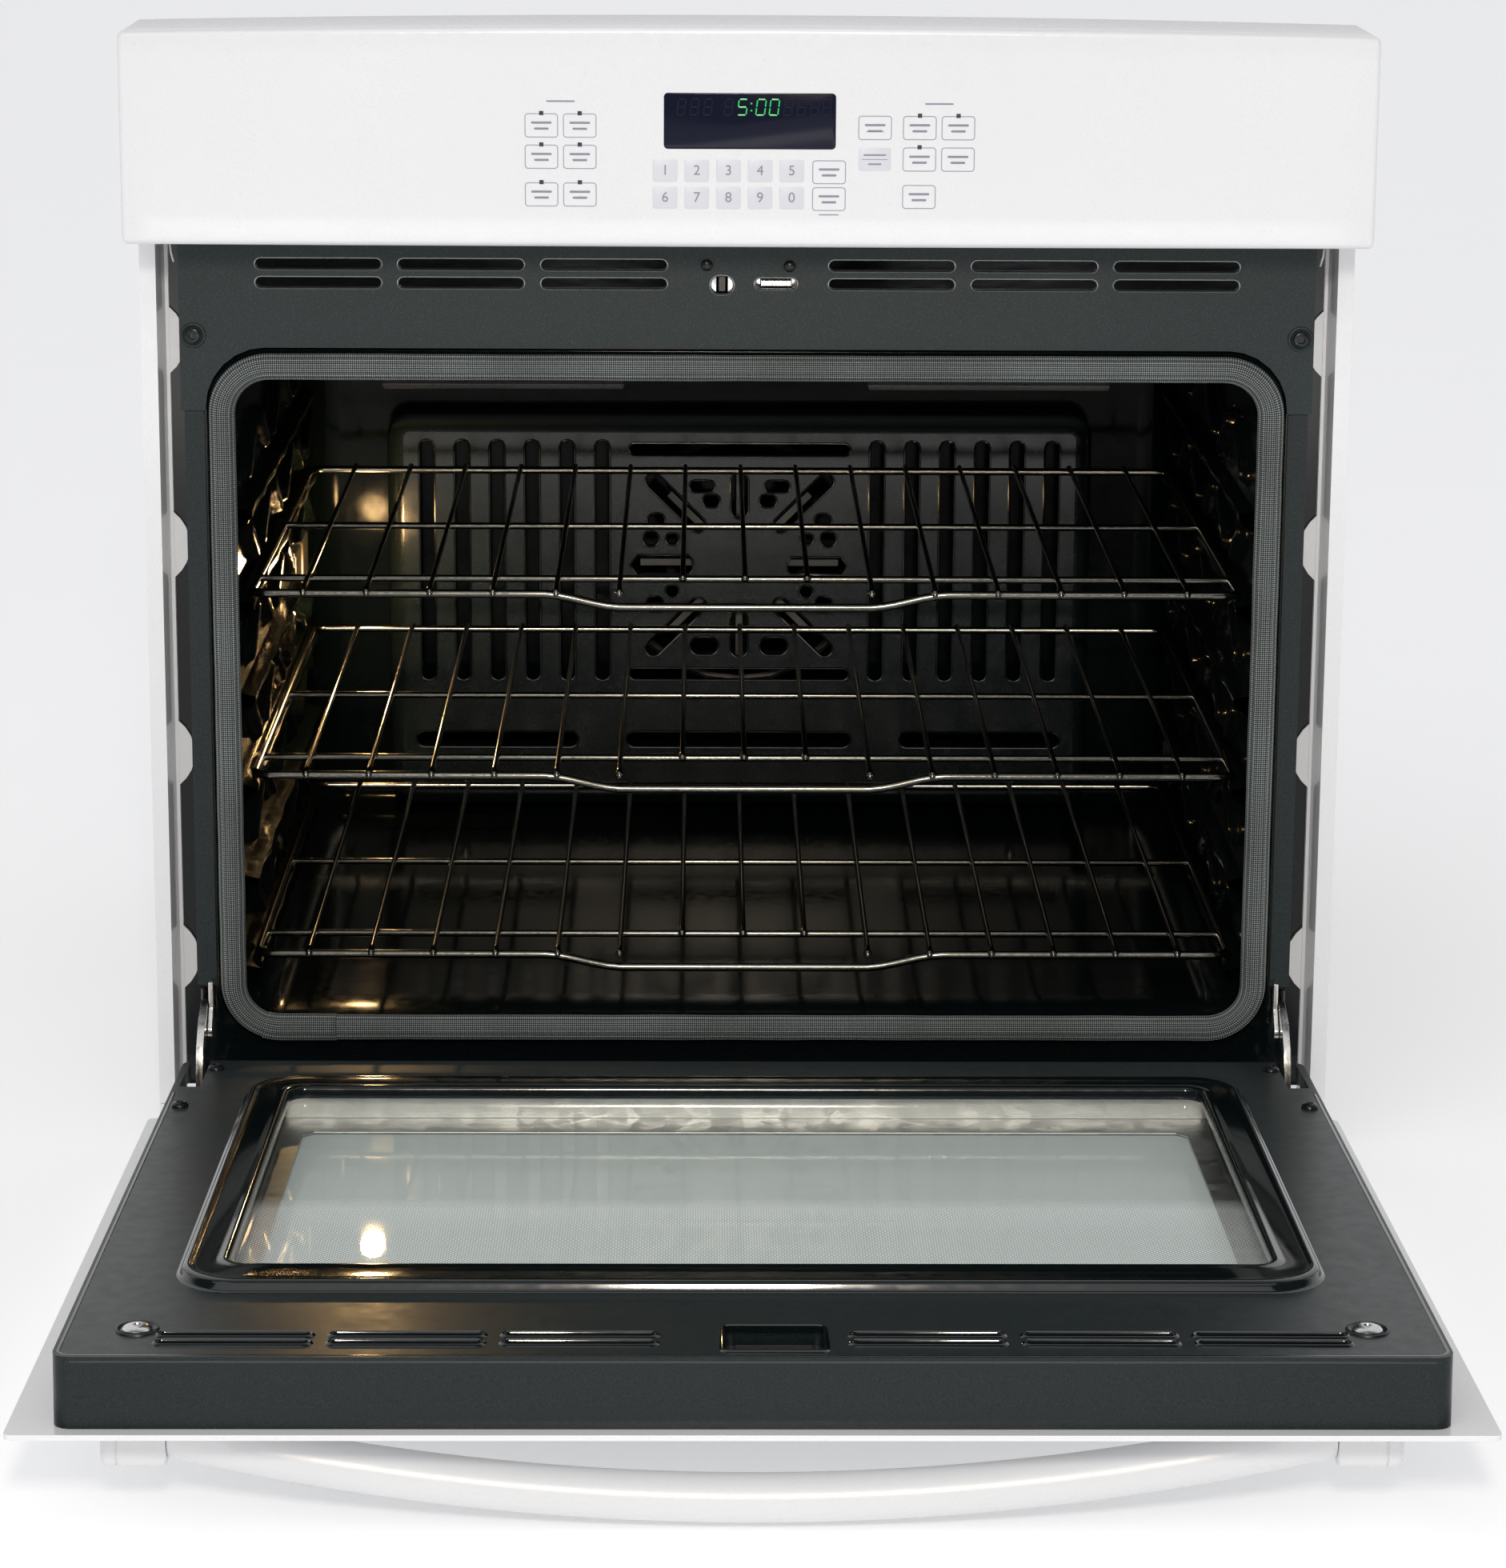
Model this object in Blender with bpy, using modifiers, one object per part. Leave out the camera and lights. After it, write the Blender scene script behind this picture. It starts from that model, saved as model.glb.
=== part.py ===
"""A 30-inch built-in single wall oven with its drop-down door open, modelled in metres.

X runs to the right, Y into the oven and Z up. The origin is under the middle of the front frame, on
the surface that the base stands on. Lengths in the script are millimetres until MM turns them into metres.
The door is drawn closed and turned open about its hinge, which is its state at rest.
"""
import math

import bmesh
import bpy
from mathutils import Matrix, Vector

MM = 0.001
GAP = 0.3  # between pieces that touch

# Whole oven
HALF_WIDTH = 377.8
TOP = 731.0
BODY_HALF = 355.0
BODY_FRONT = 30.0
BODY_BACK = 590.0
BODY_TOP = 664.0
SHEET = 2.0

# Cooking cavity, inside faces
CAVITY_HALF = 320.5
CAVITY_FLOOR = 88.0
CAVITY_CEILING = 515.0
CAVITY_DEPTH = 510.0
CAVITY_RADIUS = 26.0
FLANGE_WIDTH = 15.0
RACK_LEVELS = (124.8, 244.3, 363.8)
SPARE_LEVELS = (184.5, 304.0, 423.5)
GUIDE_BACK = 440.0
LAMP_Y = 395.0
LAMP_Z = 298.0
LAMP_LONG = 90.0
LAMP_HIGH = 38.0

# Front frame, vent panel and trims
FRAME_HALF = 349.5
FRAME_BOTTOM = 32.0
VENT_HALF = 351.4
VENT_BOTTOM = 487.0
VENT_ROWS = (579.3, 567.7)
VENT_COLUMNS = (-265.0, -177.0, -88.8, 88.8, 177.0, 265.0)
VENT_LENGTH = 77.5
VENT_HEIGHT = 6.8
TRIM_HALF = 376.0
TRIM_BACK = 27.0
TRIM_TABS = (527.0, 396.0, 260.0, 124.0)

# Control panel
PANEL_BOTTOM = 598.5
PANEL_END_TOP = 726.5
PANEL_FACE = -57.0
PANEL_BOW = 3.0
DISPLAY_WIDTH = 103.2
DISPLAY_HEIGHT = 33.8
DISPLAY_Z = 675.0

# Door, as it stands closed
HINGE_Y = -38.0
HINGE_Z = 50.0
OPEN_ANGLE = 86.5
DOOR_FACE = -54.0
DOOR_SKIN = 3.0
DOOR_BACK = -13.0
DOOR_BOTTOM = 48.0
DOOR_TOP = 593.0
LINER_HALF = 354.4
LINER_TOP = 585.0
ARM_X = 344.2
WINDOW_HALF = 280.0
WINDOW_LOW = 125.5
WINDOW_HIGH = 455.5
BEAD_WIDTH = 24.0
BEAD_RISE = 5.0
HANDLE_Z = 546.0
HANDLE_HALF = 334.5
HANDLE_RADIUS = 13.0
HANDLE_BOW = 34.5

# Convection system
FAN_Z = 284.0
BAFFLE_FACE = 472.0
BAFFLE_HALF = 262.0
BAFFLE_LOW = 97.0
BAFFLE_HIGH = 397.0

# Cooling blower
BLOWER_Y = 380.0
BLOWER_Z = 606.0
BLOWER_RADIUS = 42.0
BLOWER_GROWTH = 12.0

# Racks
RACK_HALF = 314.0
RACK_FRONT = 29.0
RACK_BACK = 432.0
RACK_WIRES = 15
WIRE_PITCH = 40.1

AXES = {
    "X": Matrix(((0, 0, 1), (1, 0, 0), (0, 1, 0))),
    "Y": Matrix(((1, 0, 0), (0, 0, -1), (0, 1, 0))),
    "Z": Matrix.Identity(3),
}


def clear_scene():
    for old in list(bpy.data.objects):
        bpy.data.objects.remove(old, do_unlink=True)


def new_collection(name):
    collection = bpy.data.collections.new(name)
    bpy.context.scene.collection.children.link(collection)
    return collection


def paint(name, colour, roughness, metallic=0.0):
    """A Principled material, or the one already made under this name."""
    if name in bpy.data.materials:
        return bpy.data.materials[name]
    material = bpy.data.materials.new(name)
    material.use_nodes = True
    shader = material.node_tree.nodes["Principled BSDF"]
    shader.inputs["Base Color"].default_value = (*colour, 1.0)
    shader.inputs["Roughness"].default_value = roughness
    shader.inputs["Metallic"].default_value = metallic
    return material


WHITE = ("white_enamel", (0.86, 0.86, 0.87), 0.25)
CHARCOAL = ("charcoal_paint", (0.035, 0.045, 0.048), 0.5)
PORCELAIN = ("black_porcelain", (0.012, 0.014, 0.014), 0.12)
GALVANISED = ("galvanised_steel", (0.55, 0.56, 0.57), 0.4, 1.0)
BRIGHT = ("bright_steel", (0.7, 0.7, 0.7), 0.25, 1.0)
RACK_STEEL = ("rack_steel", (0.09, 0.085, 0.08), 0.3, 1.0)
SHEATH = ("element_sheath", (0.12, 0.12, 0.12), 0.5, 1.0)
BRAID = ("gasket_braid", (0.12, 0.13, 0.13), 0.9)
WOOL = ("mineral_wool", (0.7, 0.62, 0.4), 1.0)
GLASS = ("clear_glass", (0.75, 0.82, 0.8), 0.03)
DISPLAY = ("display_glass", (0.01, 0.012, 0.03), 0.05)
BOARD = ("circuit_board", (0.03, 0.2, 0.08), 0.5)
BLACK_PLASTIC = ("black_plastic", (0.02, 0.02, 0.02), 0.45)


def finish(obj, collection, look):
    """Put an object in its collection with its material, and shade it smooth up to 30 degrees."""
    collection.objects.link(obj)
    if look:
        obj.data.materials.append(paint(*look))
    if obj.type == "MESH":
        obj.data.shade_smooth()
        obj.data.set_sharp_from_angle(angle=math.radians(30))
    return obj


def mesh_of(curve):
    """A curve object's solid as a mesh, its caps welded to its sides."""
    bpy.context.scene.collection.objects.link(curve)
    bpy.context.view_layer.update()
    graph = bpy.context.evaluated_depsgraph_get()
    mesh = bpy.data.meshes.new_from_object(curve.evaluated_get(graph))
    place = curve.matrix_world.copy()
    bpy.data.objects.remove(curve)
    bm = bmesh.new()
    bm.from_mesh(mesh)
    bmesh.ops.remove_doubles(bm, verts=bm.verts, dist=1e-6)
    bmesh.ops.recalc_face_normals(bm, faces=bm.faces)
    bm.to_mesh(mesh)
    bm.free()
    return mesh, place


def outline_solid(name, loops, axis, low, high, look=None, collection=None):
    """Flat loops in millimetres, the first outside and the others holes, made solid along an axis.

    Loops along X are (y, z) points, along Y (x, z) points and along Z (x, y) points.
    """
    curve = bpy.data.curves.new(name, "CURVE")
    curve.dimensions = "2D"
    curve.fill_mode = "BOTH"
    curve.extrude = (high - low) * MM / 2
    for loop in loops:
        spline = curve.splines.new("POLY")
        spline.points.add(len(loop) - 1)
        for point, (u, v) in zip(spline.points, loop):
            point.co = (u * MM, v * MM, 0, 1)
        spline.use_cyclic_u = True
    obj = bpy.data.objects.new(name, curve)
    middle = (low + high) / 2 * MM
    offset = {"X": (middle, 0, 0), "Y": (0, middle, 0), "Z": (0, 0, middle)}[axis]
    obj.matrix_world = Matrix.Translation(offset) @ AXES[axis].to_4x4()
    mesh, place = mesh_of(obj)
    solid = bpy.data.objects.new(name, mesh)
    solid.matrix_world = place
    return finish(solid, collection or PARTS, look)


def tube(name, points, radius, look=None, collection=None, closed=False, sides=8):
    """A round bar in millimetres through the points."""
    curve = bpy.data.curves.new(name, "CURVE")
    curve.dimensions = "3D"
    curve.bevel_depth = radius * MM
    curve.bevel_resolution = (sides - 4) // 2
    curve.use_fill_caps = not closed
    spline = curve.splines.new("POLY")
    spline.points.add(len(points) - 1)
    for point, (x, y, z) in zip(spline.points, points):
        point.co = (x * MM, y * MM, z * MM, 1)
    spline.use_cyclic_u = closed
    mesh, place = mesh_of(bpy.data.objects.new(name, curve))
    solid = bpy.data.objects.new(name, mesh)
    solid.matrix_world = place
    return finish(solid, collection or PARTS, look)


def block(name, low, high, look=None, collection=None, bevel=0.0):
    """A box between two corners in millimetres."""
    mesh = bpy.data.meshes.new(name)
    bm = bmesh.new()
    bmesh.ops.create_cube(bm, size=1)
    size = [b - a for a, b in zip(low, high)]
    middle = [(a + b) / 2 for a, b in zip(low, high)]
    bmesh.ops.scale(bm, vec=Vector(size) * MM, verts=bm.verts)
    bm.to_mesh(mesh)
    bm.free()
    obj = bpy.data.objects.new(name, mesh)
    obj.location = Vector(middle) * MM
    finish(obj, collection or PARTS, look)
    if bevel:
        round_edges(obj, bevel)
    return obj


def cylinder(name, centre, radius, axis, low, high, look=None, collection=None, sides=16):
    """A round bar along an axis; centre holds the two coordinates across it, in the axis's loop order."""
    u, v = centre
    loop = arc(u, v, radius, 0, 360, sides)[:-1]
    return outline_solid(name, [loop], axis, low, high, look, collection)


def round_edges(obj, width, segments=2):
    bevel = obj.modifiers.new("round_edges", "BEVEL")
    bevel.width = width * MM
    bevel.segments = segments
    bevel.limit_method = "ANGLE"
    bevel.angle_limit = math.radians(40)


def combine(obj, other, operation="UNION", solver="EXACT"):
    """Join another object to this one, or cut it out, and drop the other."""
    modifier = obj.modifiers.new(operation.lower(), "BOOLEAN")
    modifier.operation = operation
    modifier.solver = solver
    modifier.object = other
    bpy.context.view_layer.update()
    graph = bpy.context.evaluated_depsgraph_get()
    mesh = bpy.data.meshes.new_from_object(obj.evaluated_get(graph))
    obj.modifiers.clear()
    obj.data = mesh
    bpy.data.objects.remove(other)
    return obj


def cutter(make, *shape, **options):
    """A solid in the cutters' collection, which no one sees."""
    solid = make("cutter", *shape, collection=CUTTERS, **options)
    solid.hide_render = True
    solid.display_type = "WIRE"
    return solid


def arc(u, v, radius, start, end, steps):
    """Points on an arc in the plane, angles in degrees."""
    angles = (math.radians(start + (end - start) * i / steps) for i in range(steps + 1))
    return [(u + radius * math.cos(a), v + radius * math.sin(a)) for a in angles]


def rounded(left, right, low, high, radius, steps=4):
    """A rectangle with round corners, anticlockwise."""
    corners = (
        (right - radius, high - radius, 0),
        (left + radius, high - radius, 90),
        (left + radius, low + radius, 180),
        (right - radius, low + radius, 270),
    )
    points = [p for u, v, turn in corners for p in arc(u, v, radius, turn, turn + 90, steps)]
    return [p for i, p in enumerate(points) if math.dist(p, points[i - 1]) > 0.001]


def slot(u, v, length, height, steps=2):
    """A level slot with round ends."""
    return rounded(u - length / 2, u + length / 2, v - height / 2, v + height / 2, height / 2, steps)


def mirrored(loop):
    return [(-u, v) for u, v in reversed(loop)]


def sides():
    """The two sides' names with their signs."""
    return (("left", -1), ("right", 1))


# ---------------------------------------------------------------- cabinet


def base_pan():
    inner = BODY_HALF - SHEET
    loop = [(-BODY_HALF, 0), (BODY_HALF, 0), (BODY_HALF, 24), (inner, 24), (inner, SHEET),
            (-inner, SHEET), (-inner, 24), (-BODY_HALF, 24)]
    pan = outline_solid("base_pan", [loop], "Y", BODY_FRONT, BODY_BACK, GALVANISED)
    combine(pan, block("toe", (-inner, -8, 0), (inner, BODY_FRONT + 1, SHEET)))


def side_panels():
    for side, sign in sides():
        x = sorted((sign * BODY_HALF, sign * (BODY_HALF - SHEET)))
        vents = [slot(y, 640, 60, 8) for y in (260, 340, 420, 500)]
        wall = rounded(BODY_FRONT, BODY_BACK, 24 + GAP, BODY_TOP - GAP, 1, 1)
        outline_solid(f"{side}_side_panel", [wall, *vents], "X", *x, GALVANISED)


def back_panel():
    wall = rounded(-BODY_HALF + 1, BODY_HALF - 1, 2, BODY_TOP - 1, 2, 2)
    vents = [slot(x, z, 90, 8) for x in (-110, 0, 110, 220) for z in (625, 645)]
    outline_solid("back_panel", [wall, *vents], "Y", BODY_BACK + GAP, BODY_BACK + GAP + SHEET, GALVANISED)


def top_cover():
    cover = rounded(-BODY_HALF, BODY_HALF, BODY_FRONT, BODY_BACK + SHEET, 2, 2)
    louvres = [slot(x, 500, 70, 8) for x in (-260, -170, 170, 260)]
    outline_solid("top_cover", [cover, *louvres], "Z", BODY_TOP, BODY_TOP + SHEET, GALVANISED)


def cooling_deck():
    deck = rounded(-345, 345, BODY_FRONT + 2, BODY_BACK - 2, 3, 2)
    opening = rounded(-45, 45, 330, 410, 4, 2)
    outline_solid("cooling_deck", [deck, opening], "Z", 550, 552, GALVANISED)


# ---------------------------------------------------------------- front


def front_frame():
    """The plate round the cavity's mouth: raised strips beside it, tongue slots, and returns whose flanges
    reach out behind the side trims."""
    plate = rounded(-FRAME_HALF, FRAME_HALF, FRAME_BOTTOM, 550, 3, 2)
    reach = CAVITY_HALF + FLANGE_WIDTH + 0.5
    mouth = rounded(-reach, reach, CAVITY_FLOOR - 11.5, CAVITY_CEILING + 11.5, 37, 6)
    tongues = [rounded(s * ARM_X - 3.4, s * ARM_X + 3.4, 88, 112, 1, 2) for s in (-1, 1)]
    frame = outline_solid("front_frame", [plate, mouth, *tongues], "Y", 0, SHEET, PORCELAIN)
    for _, sign in sides():
        x = sorted((sign * FRAME_HALF, sign * (FRAME_HALF - 1.5)))
        fold = block("return", (x[0], 1, FRAME_BOTTOM + 4), (x[1], BODY_FRONT - 1, 546))
        combine(frame, fold)
        x = sorted((sign * (FRAME_HALF - 1), sign * 361))
        combine(frame, block("flange", (x[0], TRIM_BACK + GAP, FRAME_BOTTOM + 5), (x[1], BODY_FRONT - 1.3, 596)))
        x = sorted((sign * 336.8, sign * 349.2))
        strip = rounded(x[0], x[1], 114, VENT_BOTTOM - GAP, 1, 1)
        combine(frame, outline_solid("strip", [strip], "Y", -SHEET - GAP, 0.5))


def vent_panel():
    """The painted panel over the mouth: its lower edge runs round the gasket's upper corners."""
    reach = CAVITY_HALF + 15.5
    crown = CAVITY_CEILING + 12.0
    lower = (
        [(VENT_HALF, VENT_BOTTOM), (VENT_HALF, 598), (-VENT_HALF, 598), (-VENT_HALF, VENT_BOTTOM)]
        + [(-reach, VENT_BOTTOM)]
        + arc(-reach + 38, crown - 38, 38, 180, 90, 6)
        + arc(reach - 38, crown - 38, 38, 90, 0, 6)
        + [(reach, VENT_BOTTOM)]
    )
    holes = [slot(x, z, VENT_LENGTH, VENT_HEIGHT) for x in VENT_COLUMNS for z in VENT_ROWS]
    holes.append(rounded(-23, -9, 561.2, 572.8, 5.5, 4))
    holes.append(slot(17.3, 568, 26, 7))
    holes += [arc(s * 343, 534.5, 2.8, 0, 360, 8)[:-1] for s in (-1, 1)]
    outline_solid("vent_panel", [lower, *holes], "Y", -SHEET - GAP, -GAP, CHARCOAL)


def vent_screws():
    """Cup-headed screws that hold the vent panel."""
    for side, sign in sides():
        head = cylinder(f"{side}_vent_screw", (sign * 343, 534.5), 5.2, "Y", -5.2, -2.6, BLACK_PLASTIC, sides=12)
        shank = cylinder("shank", (sign * 343, 534.5), 2.2, "Y", -3.4, -GAP, sides=8)
        combine(head, shank)
        socket = cutter(cylinder, (sign * 343, 534.5), 2.4, "Y", -6, -4, sides=6)
        combine(head, socket, "DIFFERENCE")


def side_trims():
    """White channels on the cabinet's front, with a flat back and round tabs towards the frame."""
    for side, sign in sides():
        lip = [(366, 4), (TRIM_HALF, 4), (TRIM_HALF, TRIM_BACK), (361, TRIM_BACK), (361, 24.5), (363.2, 24.5)]
        bore = [(367.6, 6), (374, 6), (374, 24.8), (365.4, 24.8)]
        loops = [lip, bore]
        back = [(TRIM_HALF - 1, 33), (TRIM_HALF - 1, 596.5), (361.5, 596.5)]
        for z in TRIM_TABS:
            back += arc(378, z, 27, 129, 231, 8)
        back.append((361.5, 33))
        if sign < 0:
            loops = [mirrored(loop) for loop in loops]
            back = mirrored(back)
        trim = outline_solid(f"{side}_side_trim", loops, "Z", 32, 597.5, WHITE)
        combine(trim, outline_solid("tabs", [back], "Y", 24.9, TRIM_BACK - 0.2))


def bottom_trim():
    outside = [(4, 3), (TRIM_BACK, 3), (TRIM_BACK, 5), (6, 5), (6, 29.5), (TRIM_BACK, 29.5),
               (TRIM_BACK, 31.5), (4, 31.5)]
    outline_solid("bottom_trim", [outside], "X", -TRIM_HALF, TRIM_HALF, WHITE)


# ---------------------------------------------------------------- controls


def control_panel():
    """A bowed, arched face with its edges folded back to the cabinet, open behind."""
    columns, rows = 14, 1
    bm = bmesh.new()
    bmesh.ops.create_grid(bm, x_segments=columns, y_segments=rows, size=1)
    for vert in bm.verts:
        across, up = vert.co.x, (vert.co.y + 1) / 2
        top = PANEL_END_TOP + (TOP - PANEL_END_TOP) * (1 - across**2)
        bow = PANEL_BOW * (1 - across**2)
        vert.co = Vector((across * HALF_WIDTH, PANEL_FACE - bow, PANEL_BOTTOM + up * (top - PANEL_BOTTOM))) * MM
    rim = [edge for edge in bm.edges if edge.is_boundary]
    folded = bmesh.ops.extrude_edge_only(bm, edges=rim)["geom"]
    for vert in (v for v in folded if isinstance(v, bmesh.types.BMVert)):
        vert.co.y = (TRIM_BACK - 1) * MM
    bmesh.ops.recalc_face_normals(bm, faces=bm.faces)
    mesh = bpy.data.meshes.new("control_panel")
    bm.to_mesh(mesh)
    bm.free()
    panel = finish(bpy.data.objects.new("control_panel", mesh), PARTS, WHITE)
    round_edges(panel, 3.0)
    wall = panel.modifiers.new("sheet", "SOLIDIFY")
    wall.thickness = SHEET * MM
    wall.offset = side_towards_inside(mesh)
    half_w, half_h = DISPLAY_WIDTH / 2 + 0.4, DISPLAY_HEIGHT / 2 + 0.4
    hole = rounded(-half_w, half_w, DISPLAY_Z - half_h, DISPLAY_Z + half_h, 3.5, 3)
    combine(panel, cutter(outline_solid, [hole], "Y", PANEL_FACE - 8, PANEL_FACE + 8), "DIFFERENCE")


def side_towards_inside(mesh):
    """Solidify's offset that grows a shell inwards, whichever way its face looks."""
    front = min(mesh.polygons, key=lambda face: face.center.y)
    return -1.0 if front.normal.y < 0 else 1.0


def display_window():
    half_w, half_h = DISPLAY_WIDTH / 2, DISPLAY_HEIGHT / 2
    pane = rounded(-half_w, half_w, DISPLAY_Z - half_h, DISPLAY_Z + half_h, 3, 3)
    outline_solid("display_window", [pane], "Y", PANEL_FACE - PANEL_BOW, PANEL_FACE - PANEL_BOW + 4, DISPLAY)


def control_board():
    board = block("control_board", (-150, -44, 612), (150, -42, 715), BOARD)
    combine(board, block("display_module", (-50, -53, 660), (50, -43, 690)))
    combine(board, block("relays", (60, -43, 630), (120, -20, 700)))
    combine(board, block("transformer", (-120, -43, 635), (-75, -8, 690)))


# ---------------------------------------------------------------- cavity


def cavity_loop(grow, radius=CAVITY_RADIUS, steps=5):
    half = CAVITY_HALF + grow
    return rounded(-half, half, CAVITY_FLOOR - grow, CAVITY_CEILING + grow, radius + grow, steps)


def cavity_liner():
    """The porcelain box with its front flange, rack guides, lamp opening and the holes in its back wall."""
    inside, outside = cavity_loop(0), cavity_loop(SHEET)
    liner = outline_solid("cavity_liner", [outside, inside], "Y", 0.5, CAVITY_DEPTH + 1, PORCELAIN)
    flange = rounded(-335.5, 335.5, 77, 526, 36, 6)
    combine(liner, outline_solid("flange", [flange, inside], "Y", 0, SHEET))
    openings = [
        arc(0, FAN_Z, 7, 0, 360, 12)[:-1],
        arc(235, 470, 3.2, 0, 360, 8)[:-1],
        arc(-120, 492, 4.2, 0, 360, 8)[:-1],
        arc(-100, 492, 4.2, 0, 360, 8)[:-1],
    ]
    combine(liner, outline_solid("back", [outside, *openings], "Y", CAVITY_DEPTH, CAVITY_DEPTH + SHEET))
    for sign in (-1, 1):
        x = sorted((sign * 310.5, sign * (CAVITY_HALF + 1)))
        for level in (*RACK_LEVELS, *SPARE_LEVELS):
            beside_lamp = sign < 0 and abs(level - LAMP_Z) < LAMP_HIGH / 2
            back = LAMP_Y - LAMP_LONG / 2 - 12 if beside_lamp else GUIDE_BACK
            combine(liner, block("guide", (x[0], 24, level - 9.5), (x[1], back, level - 3.2)))
    opening = cutter(block, lamp_corner(-324, 0), lamp_corner(-318, 0, 1))
    combine(liner, opening, "DIFFERENCE")


def gasket_ring(inset):
    half = CAVITY_HALF + 4.5 - inset
    return rounded(-half, half, CAVITY_FLOOR - 0.4 + inset, CAVITY_CEILING + 0.2 - inset, 29 - inset, 6)


def cavity_gasket():
    """The door seal as a plain oval ring, in slices of its thickness."""
    path = gasket_ring(0)
    bm = bmesh.new()
    rings = []
    for step in range(8):
        turn = 2 * math.pi * (step + 0.5) / 8
        spread, y = 8.7 * math.cos(turn), -5.9 - 5.5 * math.sin(turn)
        rings.append([bm.verts.new(Vector((x, y, z)) * MM) for x, z in gasket_ring(spread)])
    for step in range(8):
        here, after = rings[step], rings[(step + 1) % 8]
        for i in range(len(path)):
            j = (i + 1) % len(path)
            bm.faces.new((here[i], here[j], after[j], after[i]))
    bmesh.ops.recalc_face_normals(bm, faces=bm.faces)
    mesh = bpy.data.meshes.new("cavity_gasket")
    bm.to_mesh(mesh)
    bm.free()
    finish(bpy.data.objects.new("cavity_gasket", mesh), PARTS, BRAID)


def insulation_blanket():
    outer = rounded(-346, 346, 60, 546, 12, 3)
    inner = rounded(-325.5, 325.5, 73, 520, 30, 5)
    blanket = outline_solid("insulation_blanket", [outer, inner], "Y", BODY_FRONT + 2, CAVITY_DEPTH + 1, WOOL)
    combine(blanket, cutter(block, lamp_corner(-352, 5), lamp_corner(-321, 5, 1)), "DIFFERENCE")


def serpentine(half, front, back, z, runs):
    """A flat zigzag path across the cavity, in millimetres."""
    points = []
    for i in range(runs):
        y = front + (back - front) * i / (runs - 1)
        x = half if i % 2 else -half
        points += [(-x, y, z), (x, y, z)] if i else [(-half, y, z), (half, y, z)]
    return points


def heating_elements():
    ends = [(-120, 535, 492), (-120, 470, 492)]
    loop = [(-230, 470, 492), (-230, 70, 492), (-80, 70, 492), (-80, 400, 492), (80, 400, 492),
            (80, 70, 492), (230, 70, 492), (230, 450, 492), (-100, 450, 492), (-100, 535, 492)]
    tube("broil_element", ends + loop, 3.6, SHEATH, sides=6)
    tube("bake_element", serpentine(240, 60, 460, 79.5, 5), 3.4, SHEATH, sides=6)
    ring = [(x, 492, z) for x, z in arc(0, FAN_Z, 92, 0, 360, 24)[:-1]]
    tube("convection_element", ring, 3.4, SHEATH, closed=True, sides=6)


def baffle_openings():
    """The slots of the convection baffle, as (x, z) loops."""
    loops = []
    for i in range(6):
        x = 232 - i * 26.0
        louvre = rounded(x - 5, x + 5, 196, 378, 4, 1)
        loops += [louvre, mirrored(louvre)]
    for z in (372, 200.4):
        loops.append(slot(0, z, 163, 8))
    loops += [slot(0, 149.6, 167, 11), slot(-181, 149.6, 120, 11), slot(181, 149.6, 120, 11)]
    for turn in range(4):
        loops.append(spoke(45 + 90 * turn, 38, 96, 11))
        loops.append(spoke(90 * turn, 36, 72, 13))
    return loops


def spoke(angle, near, far, width):
    """A round-ended slot along a ray from the fan's centre."""
    a = math.radians(angle)
    flat = rounded(near, far, -width / 2, width / 2, width / 2, 2)
    return [(u * math.cos(a) - v * math.sin(a), FAN_Z + u * math.sin(a) + v * math.cos(a)) for u, v in flat]


def convection_baffle():
    """A shallow pan over the fan, its rim standing off the back wall."""
    face, outer, inner = (
        rounded(cut - BAFFLE_HALF, BAFFLE_HALF - cut, BAFFLE_LOW + cut, BAFFLE_HIGH - cut, 16 - cut, 4)
        for cut in (0, 0.3, 1.9)
    )
    baffle = outline_solid("convection_baffle", [face, *baffle_openings()], "Y", BAFFLE_FACE, BAFFLE_FACE + 1.6,
                           PORCELAIN)
    combine(baffle, outline_solid("rim", [outer, inner], "Y", BAFFLE_FACE + 0.4, CAVITY_DEPTH - GAP))


def blades(count, hub, reach, width, centre):
    """A star-shaped outline of square-ended blades round a hub."""
    u, v = centre
    points = []
    for i in range(count):
        a = 2 * math.pi * i / count
        side = math.asin(width / 2 / hub)
        for radius, turn in ((hub, -side), (reach, -math.asin(width / 2 / reach)),
                             (reach, math.asin(width / 2 / reach)), (hub, side)):
            points.append((u + radius * math.cos(a + turn), v + radius * math.sin(a + turn)))
    return points


def convection_fan():
    """Eight blades on a shaft that runs back through the cavity wall."""
    centre = (0, FAN_Z)
    fan = outline_solid("convection_fan", [blades(8, 16, 74, 5, centre)], "Y", 482, 500, GALVANISED)
    combine(fan, cylinder("shaft", centre, 4, "Y", 478, 540, sides=10), solver="MANIFOLD")
    pivot_at(fan, (0, 490, FAN_Z))


def convection_motor():
    motor = cylinder("convection_motor", (0, FAN_Z), 36, "Y", 541, 584, SHEATH, sides=20)
    combine(motor, block("motor_bracket", (-55, 541, FAN_Z - 8), (55, 545, FAN_Z + 8)))


def temperature_sensor():
    probe = tube("temperature_sensor", [(235, 440, 470), (235, 530, 470)], 2.4, BRIGHT, sides=8)
    combine(probe, block("sensor_flange", (222, 506, 464), (248, 509.4, 476)))


def lamp_corner(x, grow, sign=-1):
    """The low or high corner, at x, of a box round the lamp's opening."""
    return (x, LAMP_Y + sign * (LAMP_LONG / 2 + grow), LAMP_Z + sign * (LAMP_HIGH / 2 + grow))


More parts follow.
